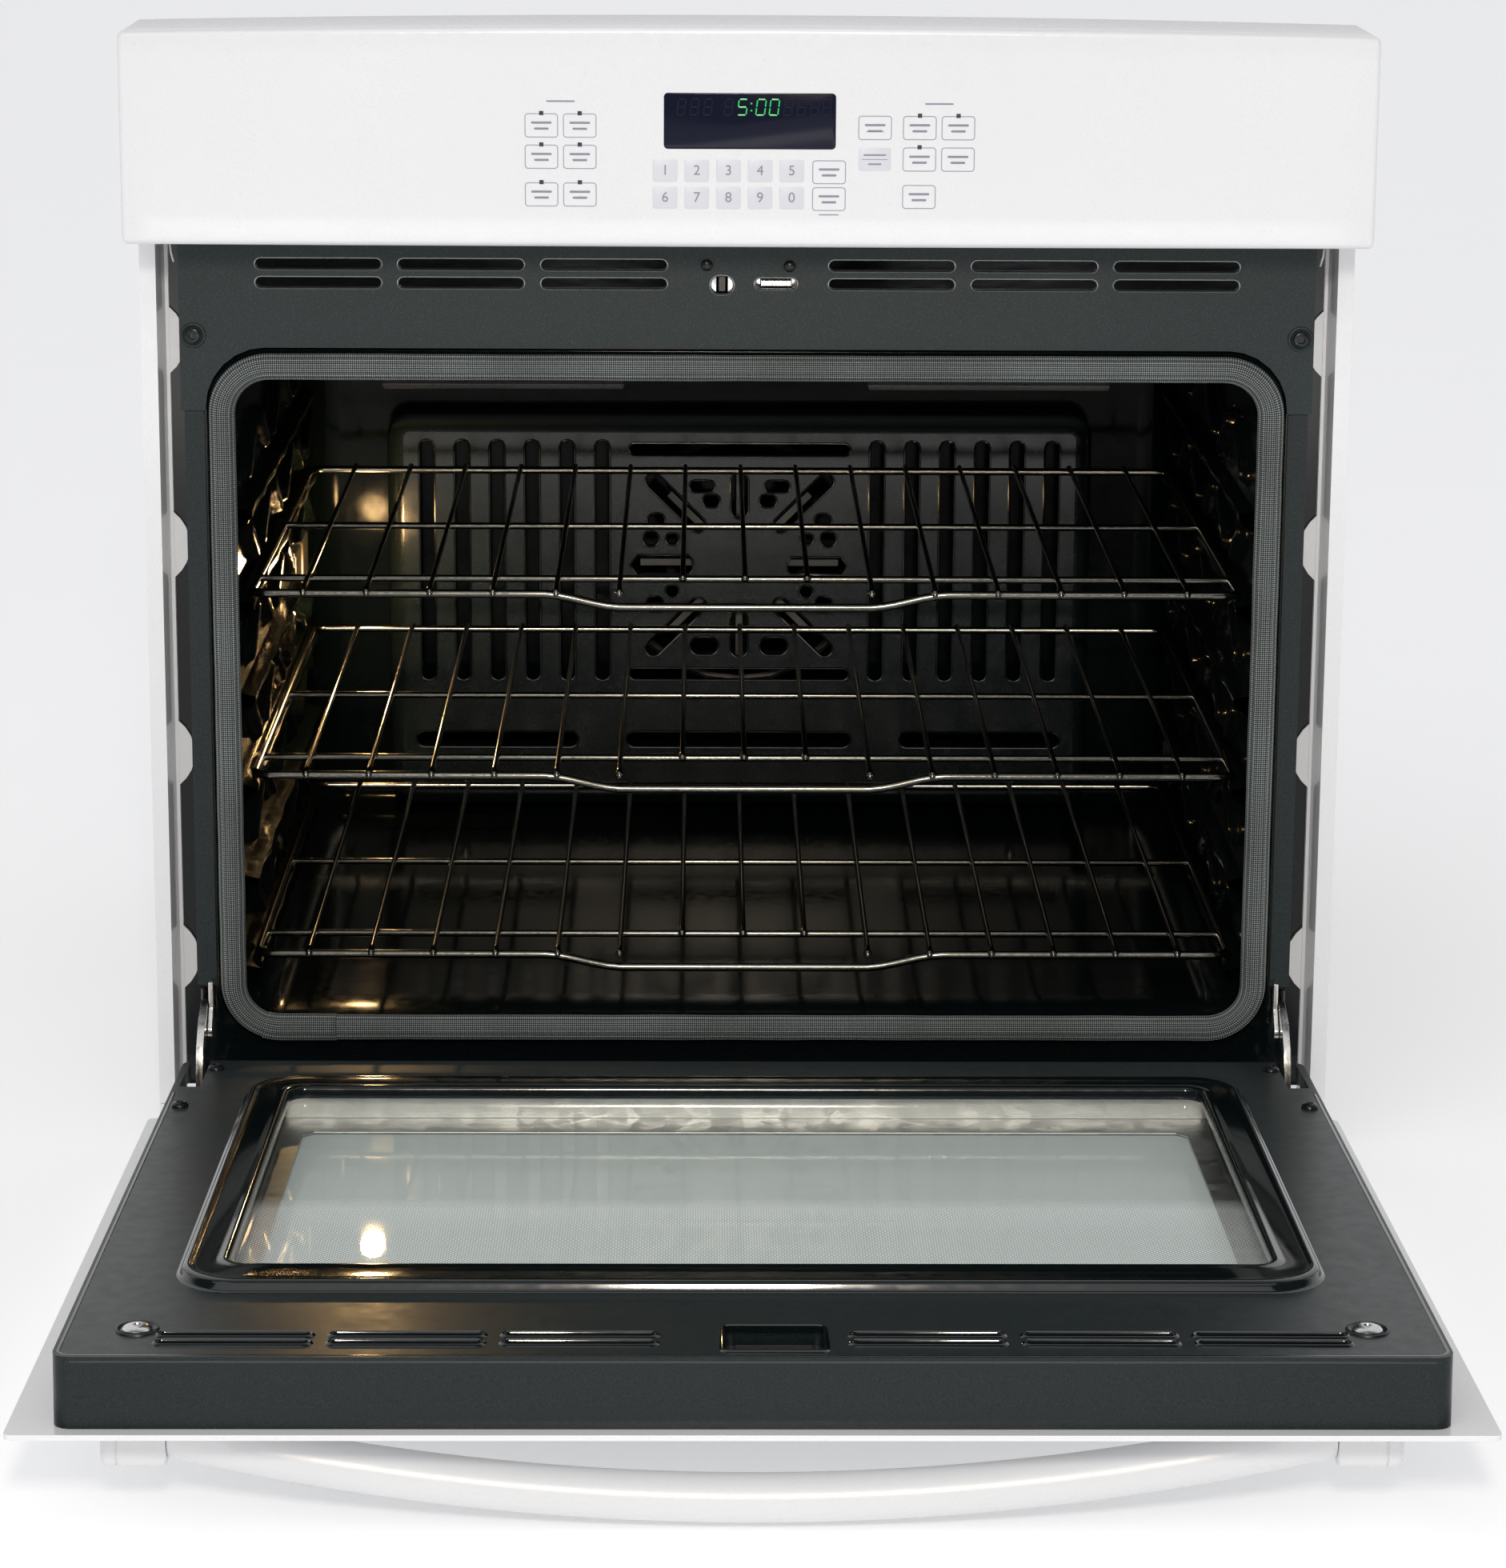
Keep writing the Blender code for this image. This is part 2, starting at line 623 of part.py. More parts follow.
def oven_lamp():
    """A halogen lamp lying in a tray behind the left wall, under an oblong lens."""
    housing = block("lamp_housing", lamp_corner(-350, 4), lamp_corner(-323, 4, 1), GALVANISED)
    combine(housing, cutter(block, lamp_corner(-348.4, 2.4), lamp_corner(-320, 2.4, 1)), "DIFFERENCE")
    lens = block("lamp_lens", lamp_corner(-322.2, -0.4), lamp_corner(-317.8, -0.4, 1), GLASS)
    round_edges(lens, 1.5)
    bulb = cylinder("lamp_bulb", (-335, LAMP_Z), 5.5, "Y", LAMP_Y - 28, LAMP_Y + 22, GLASS, sides=12)
    combine(bulb, cylinder("lamp_base", (-335, LAMP_Z), 7.5, "Y", LAMP_Y + 20, LAMP_Y + 40, sides=12))


# ---------------------------------------------------------------- cooling and latch


def scroll(grow):
    """The blower's spiral as (y, z) points, its mouth towards the front."""
    points = []
    for i in range(13):
        a = math.radians(-90 + 270 * i / 12)
        radius = BLOWER_RADIUS + BLOWER_GROWTH * i / 12 + grow
        points.append((BLOWER_Y + radius * math.cos(a), BLOWER_Z + radius * math.sin(a)))
    return points


def cooling_blower():
    """The blower housing on the deck, its wheel and its motor."""
    centre = (BLOWER_Y, BLOWER_Z)
    top, bottom = BLOWER_Z + 5, BLOWER_Z - BLOWER_RADIUS
    outer = scroll(1.8) + [(272, top), (272, bottom - 1.8)]
    inner = scroll(0) + [(271, top - 1.8), (271, bottom)]
    housing = outline_solid("cooling_blower_housing", [outer], "X", -60, 60, GALVANISED)
    combine(housing, cutter(outline_solid, [inner], "X", -58.2, 58.2), "DIFFERENCE")
    combine(housing, cutter(cylinder, centre, 28, "X", -70, 70, sides=16), "DIFFERENCE")
    for x in (-52, 40):
        combine(housing, block("foot", (x, 300, 552.3), (x + 12, 400, bottom - 0.5)))
    wheel = outline_solid("cooling_blower_wheel", [blades(14, 16, 37, 2.4, centre)], "X", -52, 52, GALVANISED)
    combine(wheel, cylinder("wheel_shaft", centre, 4, "X", -55, 66, sides=10), solver="MANIFOLD")
    pivot_at(wheel, (0, BLOWER_Y, BLOWER_Z))
    motor = cylinder("cooling_motor", centre, 26, "X", 67, 110, SHEATH, sides=18)
    combine(motor, block("motor_foot", (78, 362, 552.3), (98, 398, 588)))


def door_latch():
    """The self-clean latch: its motor, its sliding hook and the door switch beside it."""
    motor = block("latch_motor", (-50, 34, 573), (-4, 84, 612), BLACK_PLASTIC, bevel=1.5)
    combine(motor, block("latch_base", (-50, 36, 552.3), (-24, 82, 575)))
    hook = [(1, 562.5), (5, 562.5), (5, 568), (70, 568), (70, 572.4), (1, 572.4)]
    outline_solid("latch_hook", [hook], "X", -18.2, -13.8, SHEATH)
    switch = block("latch_switch", (4, 8, 560), (31, 40, 577), BRIGHT)
    combine(switch, block("switch_lever", (8, 1, 566), (27, 9, 569.5)))
    combine(switch, block("switch_foot", (8, 30, 552.3), (27, 38, 562)))


# ---------------------------------------------------------------- services


def services():
    box = block("terminal_box", (-320, 592.6, 560), (-230, 625, 640), GALVANISED, bevel=1.5)
    combine(box, cutter(cylinder, (-275, 600), 14, "Y", 600, 640, sides=16), "DIFFERENCE")
    gland = [arc(-275, 600, 13, 0, 360, 16)[:-1], arc(-275, 600, 8, 0, 360, 12)[:-1]]
    outline_solid("conduit_gland", gland, "Y", 612, 645, BLACK_PLASTIC)


# ---------------------------------------------------------------- hinges


def hinge_hardware():
    """Fixed arms from the door's pivots to their receivers, and the flip-down locks beside them."""
    arm = (
        arc(HINGE_Y, HINGE_Z, 6.5, 180, 360, 8)
        + [(-32, 64), (-28, 76), (-18, 86), (-2, 92.7), (27, 92.7), (27, 105), (-8, 105), (-26, 97)]
        + [(-38, 84), (-43.5, 68)]
    )
    eye = arc(HINGE_Y, HINGE_Z, 2.8, 0, 360, 10)[:-1]
    lock = (
        arc(-14, 88, 4.6, 150, 330, 6)
        + [(-4.6, 97), (-4.6, 118), (-9.4, 118), (-9.4, 101)]
    )
    for side, sign in sides():
        span = sorted((sign * (ARM_X - 2.2), sign * (ARM_X + 2.3)))
        outline_solid(f"{side}_hinge_arm", [arm, eye], "X", *span, BRIGHT)
        receiver = [(339.8, 88), (347.7, 88), (347.7, 110), (346.9, 110), (346.9, 92.4), (341.4, 92.4),
                    (341.4, 110), (339.8, 110)]
        if sign < 0:
            receiver = mirrored(receiver)
        outline_solid(f"{side}_hinge_receiver", [receiver], "Y", SHEET + GAP, 29, GALVANISED)
        span = sorted((sign * (ARM_X - 5.6), sign * (ARM_X - 2.6)))
        lever = outline_solid(f"{side}_hinge_lock", [lock], "X", *span, BRIGHT)
        pivot_at(lever, (sign * ARM_X, -14, 88))


def hinge_channels():
    """Channels inside the door that carry the pivot pins."""
    for side, sign in sides():
        wall = (
            arc(HINGE_Y, HINGE_Z + 1, 6.5, 180, 360, 6)
            + [(-27, 70), (-27, 300), (-49.6, 300), (-49.6, 60)]
        )
        inner = sorted((sign * 335.6, sign * 337.2))
        outer = sorted((sign * 350.3, sign * 351.4))
        channel = outline_solid(f"{side}_hinge_channel", [wall], "X", *inner, BRIGHT)
        combine(channel, outline_solid("outer_cheek", [wall], "X", *outer))
        web = sorted((sign * 336.4, sign * 350.8))
        combine(channel, block("web", (web[0], -49.6, 62), (web[1], -48, 300)))
        pin = cylinder("pin", (HINGE_Y, HINGE_Z), 2.3, "X", web[0], web[1], sides=10)
        combine(channel, pin)
        on_door(channel)


# ---------------------------------------------------------------- door


def door_outer_panel():
    """The white front with folded edges and the window's opening."""
    edge = rounded(-HALF_WIDTH, HALF_WIDTH, DOOR_BOTTOM, DOOR_TOP, 4, 3)
    window = rounded(-268, 268, 150, 430, 8, 3)
    panel = outline_solid("door_outer_panel", [edge, window], "Y", DOOR_FACE, DOOR_FACE + DOOR_SKIN, WHITE)
    on_door(panel)


def door_glass():
    """Three panes: one behind the white front, one in the middle and one in the liner."""
    on_door(outline_solid("door_outer_glass", [rounded(-284, 284, 136, 444, 4, 2)], "Y",
                          DOOR_FACE + DOOR_SKIN + GAP, DOOR_FACE + DOOR_SKIN + 3.3, GLASS))
    on_door(outline_solid("door_middle_glass", [rounded(-280, 280, 132, 450, 4, 2)], "Y", -36, -33, GLASS))
    on_door(outline_solid("door_inner_glass", [rounded(-287, 287, 118, 462, 4, 2)], "Y", -20, -16.4, GLASS))


def window_pack_frame():
    """The sheet frame that holds the inner panes apart."""
    outer = rounded(-297, 297, 110, 471, 6, 1)
    inner = rounded(-294.5, 294.5, 112.5, 468.5, 5, 1)
    frame = outline_solid("window_pack_frame", [outer, inner], "Y", -46, -17, GALVANISED)
    ledge = rounded(-270, 270, 142, 440, 6, 1)
    step = rounded(-296, 296, 111, 470, 6, 1)
    combine(frame, outline_solid("ledge", [step, ledge], "Y", -32.6, -31))
    on_door(frame)


def door_liner():
    """The porcelain inner pan: window bead, vents, latch recess and the slots its hinge arms pass."""
    shell = rounded(-LINER_HALF, LINER_HALF, DOOR_BOTTOM + 1, LINER_TOP, 9, 4)
    hollow = rounded(-LINER_HALF + 1.8, LINER_HALF - 1.8, DOOR_BOTTOM + 2.8, LINER_TOP - 1.8, 7.2, 4)
    window = rounded(-WINDOW_HALF, WINDOW_HALF, WINDOW_LOW, WINDOW_HIGH, 10, 4)
    vents = [slot(x, z, VENT_LENGTH, VENT_HEIGHT - 1) for x in VENT_COLUMNS for z in (552.8, 564.7)]
    recess = rounded(-15, 36, 540, 577, 3, 2)
    liner = outline_solid("door_liner", [shell, window, *vents, recess], "Y", DOOR_BACK - 1.8, DOOR_BACK, PORCELAIN)
    back = DOOR_FACE + DOOR_SKIN + GAP
    combine(liner, outline_solid("walls", [shell, hollow], "Y", back, DOOR_BACK - 0.6), solver="MANIFOLD")
    bead_outer = rounded(-WINDOW_HALF - BEAD_WIDTH, WINDOW_HALF + BEAD_WIDTH, WINDOW_LOW - 26,
                         WINDOW_HIGH + 30, 30, 5)
    bead = outline_solid("bead", [bead_outer, window], "Y", DOOR_BACK - 1, DOOR_BACK + BEAD_RISE)
    combine(liner, bead, solver="MANIFOLD")
    cup = rounded(-16.5, 37.5, 538.5, 578.5, 4, 2)
    combine(liner, outline_solid("cup_floor", [cup], "Y", DOOR_BACK - 12, DOOR_BACK - 10.4), solver="MANIFOLD")
    combine(liner, outline_solid("cup_walls", [cup, recess], "Y", DOOR_BACK - 11, DOOR_BACK - 1), solver="MANIFOLD")
    for sign in (-1, 1):
        x = sorted((sign * 337.4, sign * 350.2))
        passage = cutter(block, (x[0], HINGE_Y - 10, DOOR_BOTTOM - 10), (x[1], DOOR_BACK + 5, 107))
        combine(liner, passage, "DIFFERENCE", "MANIFOLD")
        x = sorted((sign * 334.9, sign * 352.7))
        foot = cutter(block, (x[0], HINGE_Y - 12, DOOR_BOTTOM - 10), (x[1], -26.5, DOOR_BOTTOM + 14))
        combine(liner, foot, "DIFFERENCE", "MANIFOLD")
    on_door(liner)


def handle_path():
    """The bowed centre line, as (x, y, z) points at the closed door."""
    reach = HANDLE_HALF - 37.6
    points = []
    for i in range(15):
        across = -1 + 2 * i / 14
        off = HANDLE_RADIUS + 1 + HANDLE_BOW * (1 - across**2)
        points.append((across * reach, DOOR_FACE - off, HANDLE_Z))
    return points


def door_handle():
    on_door(tube("handle_bar", handle_path(), HANDLE_RADIUS, WHITE, sides=12))
    for side, sign in sides():
        x = sorted((sign * (HANDLE_HALF - 34.2), sign * HANDLE_HALF))
        low = (x[0], DOOR_FACE - 28, HANDLE_Z - 14)
        end = block(f"{side}_handle_end", low, (x[1], DOOR_FACE - GAP, HANDLE_Z + 14), WHITE, bevel=5)
        on_door(end)


def door_screws():
    """Dished screws through the liner into the handle's ends."""
    for side, sign in sides():
        screw = cylinder(f"{side}_door_screw", (sign * 316, 544.5), 9, "Y", DOOR_BACK + GAP, DOOR_BACK + 2.3,
                         BRIGHT, sides=16)
        combine(screw, cutter(cylinder, (sign * 316, 544.5), 5, "Y", DOOR_BACK + 1.2, DOOR_BACK + 5, sides=12),
                "DIFFERENCE")
        on_door(screw)


# ---------------------------------------------------------------- racks


def rack_rim(z):
    """The rack's edge wire, dipping at the front for a grip."""
    dip = [(130, 0.0), (118, -5.5), (75, -8.5), (-75, -8.5), (-118, -5.5), (-130, 0.0)]
    front = [(x, RACK_FRONT, z + drop) for x, drop in dip]
    back_corner = [(-RACK_HALF + 10, RACK_BACK, z), (RACK_HALF - 10, RACK_BACK, z)]
    left = [(-RACK_HALF + 8, RACK_FRONT, z), (-RACK_HALF, RACK_FRONT + 8, z), (-RACK_HALF, RACK_BACK - 10, z)]
    right = [(RACK_HALF, RACK_BACK - 10, z), (RACK_HALF, RACK_FRONT + 8, z), (RACK_HALF - 8, RACK_FRONT, z)]
    return front + left + back_corner + right


def rack(name, z):
    """A wire shelf: a rim, two cross bars and the wires that lie on them."""
    shelf = tube(name, rack_rim(z), 2.8, RACK_STEEL, closed=True, sides=6)
    for y in (RACK_FRONT + 44, 236.0):
        combine(shelf, block("cross_bar", (-RACK_HALF, y - 2.4, z - 2.4), (RACK_HALF, y + 2.4, z + 2.4)))
    for i in range(RACK_WIRES):
        x = (i - RACK_WIRES // 2) * WIRE_PITCH
        front = RACK_FRONT + 41 if abs(x) < WIRE_PITCH * 1.5 else RACK_FRONT - 2
        combine(shelf, block("wire", (x - 2, front, z + 1), (x + 2, RACK_BACK + 2, z + 5)))
    return shelf


def racks():
    for name, z in zip(("lower_rack", "middle_rack", "upper_rack"), RACK_LEVELS):
        rack(name, z)


# ---------------------------------------------------------------- moving pieces


def pivot_at(obj, place):
    """Move an object's origin to a point in millimetres on its joint's axis, leaving its shape in place."""
    bpy.context.view_layer.update()
    point = Vector(place) * MM
    obj.data.transform(Matrix.Translation(-point) @ obj.matrix_world)
    obj.matrix_world = Matrix.Translation(point)


def door_pivot():
    pivot = bpy.data.objects.new("door_pivot", None)
    PARTS.objects.link(pivot)
    pivot.location = Vector((0, HINGE_Y, HINGE_Z)) * MM
    pivot.rotation_euler.x = math.radians(OPEN_ANGLE)
    return pivot


def on_door(obj):
    """Hang a piece drawn on the closed door from the door's pivot."""
    obj.parent = PIVOT
    obj.matrix_parent_inverse = Matrix.Translation(-Vector(PIVOT.location))


clear_scene()
PARTS = new_collection("wall_oven")
CUTTERS = new_collection("cutters")
PIVOT = door_pivot()

base_pan()
side_panels()
back_panel()
top_cover()
cooling_deck()
front_frame()
vent_panel()
vent_screws()
side_trims()
bottom_trim()
control_panel()
display_window()
control_board()
cavity_liner()
cavity_gasket()
insulation_blanket()
heating_elements()
convection_baffle()
convection_fan()
convection_motor()
temperature_sensor()
oven_lamp()
cooling_blower()
door_latch()
services()
hinge_hardware()
hinge_channels()
door_outer_panel()
door_glass()
window_pack_frame()
door_liner()
door_handle()
door_screws()
racks()
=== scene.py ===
"""The looks of a built-in wall oven with its drop-down door open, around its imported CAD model.

Lengths are millimetres in the oven's own frame until MM turns them into metres. Pieces of the door
are drawn as the door stands closed, and opened() turns them to where it rests.
"""

import math

import bmesh
import bpy
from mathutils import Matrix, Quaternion, Vector, noise


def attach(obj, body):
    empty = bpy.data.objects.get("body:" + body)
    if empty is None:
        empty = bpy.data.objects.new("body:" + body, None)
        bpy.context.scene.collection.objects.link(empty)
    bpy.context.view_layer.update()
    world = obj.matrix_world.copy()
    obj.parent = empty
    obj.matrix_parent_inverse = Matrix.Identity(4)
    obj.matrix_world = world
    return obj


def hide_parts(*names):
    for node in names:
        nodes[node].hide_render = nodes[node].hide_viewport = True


MM = 0.001
HINGE = (-38.0, 50.0)  # the Y and Z of the door's hinge line
OPEN_ANGLE = math.radians(86.5)
PANEL_HALF, PANEL_LOW, PANEL_SHOULDER, PANEL_ARCH = 377.8, 598.5, 726.5, 4.5
PANEL_FRONT, PANEL_BOW = -57.0, 3.0
DISPLAY_FRONT = -60.25
SLOT_PLACES, SLOT_LENGTH = (-265.0, -177.0, -88.8, 88.8, 177.0, 265.0), 77.5  # on the vent panel and the door
LAMP_Y, LAMP_Z = 395.0, 298.0
GUIDE_LEVELS = (124.8, 184.5, 244.3, 304.0, 363.8, 423.5)
RACKS = {"lower_rack": GUIDE_LEVELS[0], "middle_rack": GUIDE_LEVELS[2], "upper_rack": GUIDE_LEVELS[4]}
FAN_HEIGHT = 284.0
BAFFLE_FRONT, BAFFLE_BACK = 472.0, 509.4
DOOR_FACE = -13.0  # the liner's broad face, as the door stands closed
CABINET_SIDE, CABINET_BACK = 355.1, 592.1

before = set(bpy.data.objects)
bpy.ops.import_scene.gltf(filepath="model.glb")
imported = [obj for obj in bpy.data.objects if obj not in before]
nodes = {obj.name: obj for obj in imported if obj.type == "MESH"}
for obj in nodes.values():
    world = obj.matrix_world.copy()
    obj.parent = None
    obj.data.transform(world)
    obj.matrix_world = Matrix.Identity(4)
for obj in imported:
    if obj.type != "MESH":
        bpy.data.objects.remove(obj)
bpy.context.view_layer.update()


def settled(made, **settings):
    """Sets a new thing's own properties and gives it back."""
    for name, value in settings.items():
        setattr(made, name, value)
    return made


def linked(name, data):
    """A new object in the scene, holding the mesh, curve, lamp or camera."""
    obj = bpy.data.objects.new(name, data)
    bpy.context.scene.collection.objects.link(obj)
    return obj


# ---------------------------------------------------------------- materials


def feed(tree, made, inputs):
    """Gives a node's sockets, by name or number, their values or other nodes' outputs."""
    for key, value in inputs.items():
        if isinstance(value, bpy.types.NodeSocket):
            tree.links.new(value, made.inputs[key])
        else:
            made.inputs[key].default_value = value
    return made


def node(tree, kind, inputs=(), **settings):
    return feed(tree, settled(tree.nodes.new(kind), **settings), dict(inputs))


def maths(tree, operation, *values):
    """A Math node's result; each value is a number or another node's output."""
    return node(tree, "ShaderNodeMath", dict(enumerate(values)), operation=operation).outputs[0]


def mixed(tree, share, one, other, blend="MIX"):
    made = node(tree, "ShaderNodeMixRGB", {"Fac": share, "Color1": one, "Color2": other}, blend_type=blend)
    return made.outputs["Color"]


def layered(tree, share, under, over):
    return node(tree, "ShaderNodeMixShader", {0: share, 1: under, 2: over}).outputs[0]


def parted(tree, vector):
    return node(tree, "ShaderNodeSeparateXYZ", {"Vector": vector}).outputs


def turned_place(tree, place, angles):
    return node(tree, "ShaderNodeMapping", {"Vector": place, "Rotation": angles}).outputs["Vector"]


def upward(tree):
    """How far the surface faces up, from -1 to 1."""
    return parted(tree, node(tree, "ShaderNodeTexCoord").outputs["Normal"])["Z"]


def blank(name):
    """A new material, its node tree, its shader and the object-space place that its patterns follow."""
    material = bpy.data.materials.new(name)
    material.use_nodes = True
    tree = material.node_tree
    place = node(tree, "ShaderNodeTexCoord").outputs["Object"]
    return material, tree, tree.nodes["Principled BSDF"], place


def scaled(colour, factor):
    return (*(min(c * factor, 1.0) for c in colour), 1.0)


def ramp(tree, source, stops):
    made = node(tree, "ShaderNodeValToRGB", {"Fac": source})
    while len(made.color_ramp.elements) < len(stops):
        made.color_ramp.elements.new(0.5)
    for element, (place, colour) in zip(made.color_ramp.elements, stops):
        element.position, element.color = place, colour
    return made.outputs["Color"]


def blurred(tree, place, scale, detail=3.0, stretch=None):
    if stretch:
        place = node(tree, "ShaderNodeMapping", {"Vector": place, "Scale": stretch}).outputs["Vector"]
    made = node(tree, "ShaderNodeTexNoise", {"Vector": place, "Scale": scale, "Detail": detail})
    return made.outputs["Fac"]


def spread(tree, source, low, high, start=0.3, end=0.7):
    return node(tree, "ShaderNodeMapRange", {"Value": source, "From Min": start, "From Max": end,
                                             "To Min": low, "To Max": high}).outputs["Result"]


def bumpy(tree, height, strength, distance):
    made = node(tree, "ShaderNodeBump", {"Height": height, "Strength": strength, "Distance": distance * MM})
    return made.outputs["Normal"]


def coated(name, colour, roughness, metallic=0.0, coat=0.0, mottle=0.12, fleck=None, fleck_size=0.8,
           ripple=0.1, ripple_size=8.0, stretch=None, sweep=0.06, shine=0.5, index=1.5):
    """Paint, enamel or metal: a slow change of tone, fine flecks, uneven gloss and a rippled surface.
    The sizes of flecks and ripples are in millimetres."""
    material, tree, shader, place = blank(name)
    slow = blurred(tree, place, 6.0)
    tone = ramp(tree, slow, [(0.3, scaled(colour, 1 - mottle)), (0.7, scaled(colour, 1 + mottle))])
    if fleck:
        fine = blurred(tree, place, 1000 / fleck_size, 1.0, stretch)
        mask = ramp(tree, fine, [(0.6, (0, 0, 0, 1)), (0.72, (1, 1, 1, 1))])
        tone = mixed(tree, mask, tone, (*fleck, 1))
    gloss = blurred(tree, place, 1000 / ripple_size, 4.0, stretch)
    rough = spread(tree, gloss, max(roughness - sweep, 0.02), roughness + sweep)
    feed(tree, shader, {"Base Color": tone, "Roughness": rough, "Metallic": metallic, "Coat Weight": coat,
                        "Coat Roughness": 0.08, "Specular IOR Level": shine, "IOR": index,
                        "Normal": bumpy(tree, gloss, ripple, 0.05)})
    return material


def spangled(name, colour, roughness):
    """Galvanised sheet: crystals of slightly different tone and gloss under fine rolling marks."""
    material, tree, shader, place = blank(name)
    cells = node(tree, "ShaderNodeTexVoronoi", {"Vector": place, "Scale": 110.0})
    grey = node(tree, "ShaderNodeSeparateColor", {"Color": cells.outputs["Color"]}).outputs["Red"]
    marks = blurred(tree, place, 300.0, stretch=(1, 1, 0.1))
    tone = ramp(tree, grey, [(0.0, scaled(colour, 0.86)), (1.0, scaled(colour, 1.1))])
    feed(tree, shader, {"Base Color": tone, "Metallic": 0.9, "Normal": bumpy(tree, marks, 0.15, 0.05),
                        "Roughness": spread(tree, grey, roughness - 0.1, roughness + 0.1, 0, 1)})
    return material


def painted_light_above(material, colour):
    """Mixes in a paler tone where the surface faces up: painted light, as if lit from above."""
    tree = material.node_tree
    shader = tree.nodes["Principled BSDF"]
    share = spread(tree, upward(tree), 0.0, 1.0, 0.3, 0.8)
    tone = shader.inputs["Base Color"].links[0].from_socket
    feed(tree, shader, {"Base Color": mixed(tree, share, tone, (*colour, 1))})


def braided(name):
    """Woven glass-fibre sleeve: rows of slanted stitches along the tube, from its own length and girth, with
    painted shade in the hollows between stitches and painted glints on their crests.
    """
    material, tree, shader, place = blank(name)
    cloth = parted(tree, node(tree, "ShaderNodeTexCoord").outputs["UV"])
    stitches_round = 34
    slants = []
    for lean in (0.5, -0.5):
        turn = maths(tree, "MULTIPLY_ADD", cloth["Y"], stitches_round * lean, cloth["X"])
        slants.append(maths(tree, "SINE", maths(tree, "MULTIPLY", turn, 2 * math.pi)))
    yarn = spread(tree, maths(tree, "MULTIPLY", *slants), 0.0, 1.0, -0.6, 0.8)
    frayed = maths(tree, "ADD", yarn, blurred(tree, place, 900.0, 2.0))
    # Painted shade and glints: the tone follows the stitches' relief, near black between them and pale on
    # their crests.
    tone = ramp(tree, yarn, [(0.1, (0.016, 0.021, 0.022, 1)), (0.55, (0.072, 0.088, 0.09, 1)),
                             (0.95, (0.4, 0.44, 0.43, 1))])
    worn = ramp(tree, blurred(tree, place, 14.0), [(0.35, (0.75, 0.75, 0.74, 1)), (0.65, (1, 1, 1, 1))])
    feed(tree, shader, {"Base Color": mixed(tree, 1.0, tone, worn, "MULTIPLY"), "Roughness": 0.62,
                        "Sheen Weight": 0.1, "Metallic": 0.25, "Normal": bumpy(tree, frayed, 0.7, 0.5)})
    return material


def woolly(name):
    material, tree, shader, place = blank(name)
    fibres = blurred(tree, place, 240.0, 8.0, (0.3, 1, 1))
    tone = ramp(tree, fibres, [(0.3, (0.32, 0.24, 0.1, 1)), (0.7, (0.72, 0.6, 0.34, 1))])
    feed(tree, shader, {"Base Color": tone, "Roughness": 1.0, "Sheen Weight": 0.5,
                        "Normal": bumpy(tree, fibres, 0.9, 2.0)})
    return material


def clear(name, tint, index, dots=None, painted_light_share=0.0):
    """A pane: its front face mirrors more at a slant, and the view through it keeps its tint. dots is where,
    along the pane from the hinge towards the handle, a print of fine white dots starts; the last argument is
    how much of the pane a pale diffuse layer hides: painted light that stands in for a bright view through
    it."""
    material, tree, shader, place = blank(name)
    tree.nodes.remove(shader)
    wear = blurred(tree, place, 30.0, 4.0)
    stain = ramp(tree, wear, [(0.3, scaled(tint, 0.99)), (0.7, scaled(tint, 1.0))])
    through = node(tree, "ShaderNodeBsdfTransparent", {"Color": stain}).outputs[0]
    rough = spread(tree, wear, 0.015, 0.0375)
    shine = {"Color": (0.95, 0.98, 0.97, 1), "Roughness": rough}
    mirror = node(tree, "ShaderNodeBsdfGlossy", shine).outputs[0]
    slant = node(tree, "ShaderNodeFresnel", {"IOR": index}).outputs["Fac"]
    front = maths(tree, "SUBTRACT", 1.0, node(tree, "ShaderNodeNewGeometry").outputs["Backfacing"])
    pane = layered(tree, maths(tree, "MULTIPLY", slant, front), through, mirror)
    # Painted light: a pale diffuse layer over the pane stands in for a bright view through it.
    if painted_light_share:
        painted_light_layer = node(tree, "ShaderNodeBsdfDiffuse", {"Color": (0.83, 0.875, 0.865, 1)}).outputs[0]
        pane = layered(tree, spread(tree, blurred(tree, place, 2.5), painted_light_share * 0.93, painted_light_share), pane, painted_light_layer)
    if dots:
        flat = turned_place(tree, place, (math.pi / 2 - OPEN_ANGLE, 0, 0))
        aslant = turned_place(tree, flat, (0, 0, math.pi / 4))
        grid = {"Vector": aslant, "Scale": 480.0, "Randomness": 0.0}
        grain = node(tree, "ShaderNodeTexVoronoi", grid, voronoi_dimensions="2D").outputs["Distance"]
        along = parted(tree, flat)["Y"]
        seen = maths(tree, "MULTIPLY", spread(tree, along, 1.0, 0.0, dots - 0.02, dots), front)
        share = maths(tree, "MULTIPLY", maths(tree, "LESS_THAN", grain, 0.3), seen)
        ink = node(tree, "ShaderNodeBsdfDiffuse", {"Color": (0.9, 0.94, 0.93, 1)}).outputs[0]
        pane = layered(tree, share, pane, ink)
    tree.links.new(pane, tree.nodes["Material Output"].inputs["Surface"])
    return material


def glowing(name, colour, strength, base):
    material, tree, shader, place = blank(name)
    tone = ramp(tree, blurred(tree, place, 60.0), [(0.3, scaled(base, 0.8)), (0.7, scaled(base, 1.2))])
    feed(tree, shader, {"Base Color": tone, "Emission Color": (*colour, 1), "Emission Strength": strength,
                        "Roughness": 0.15})
    return material


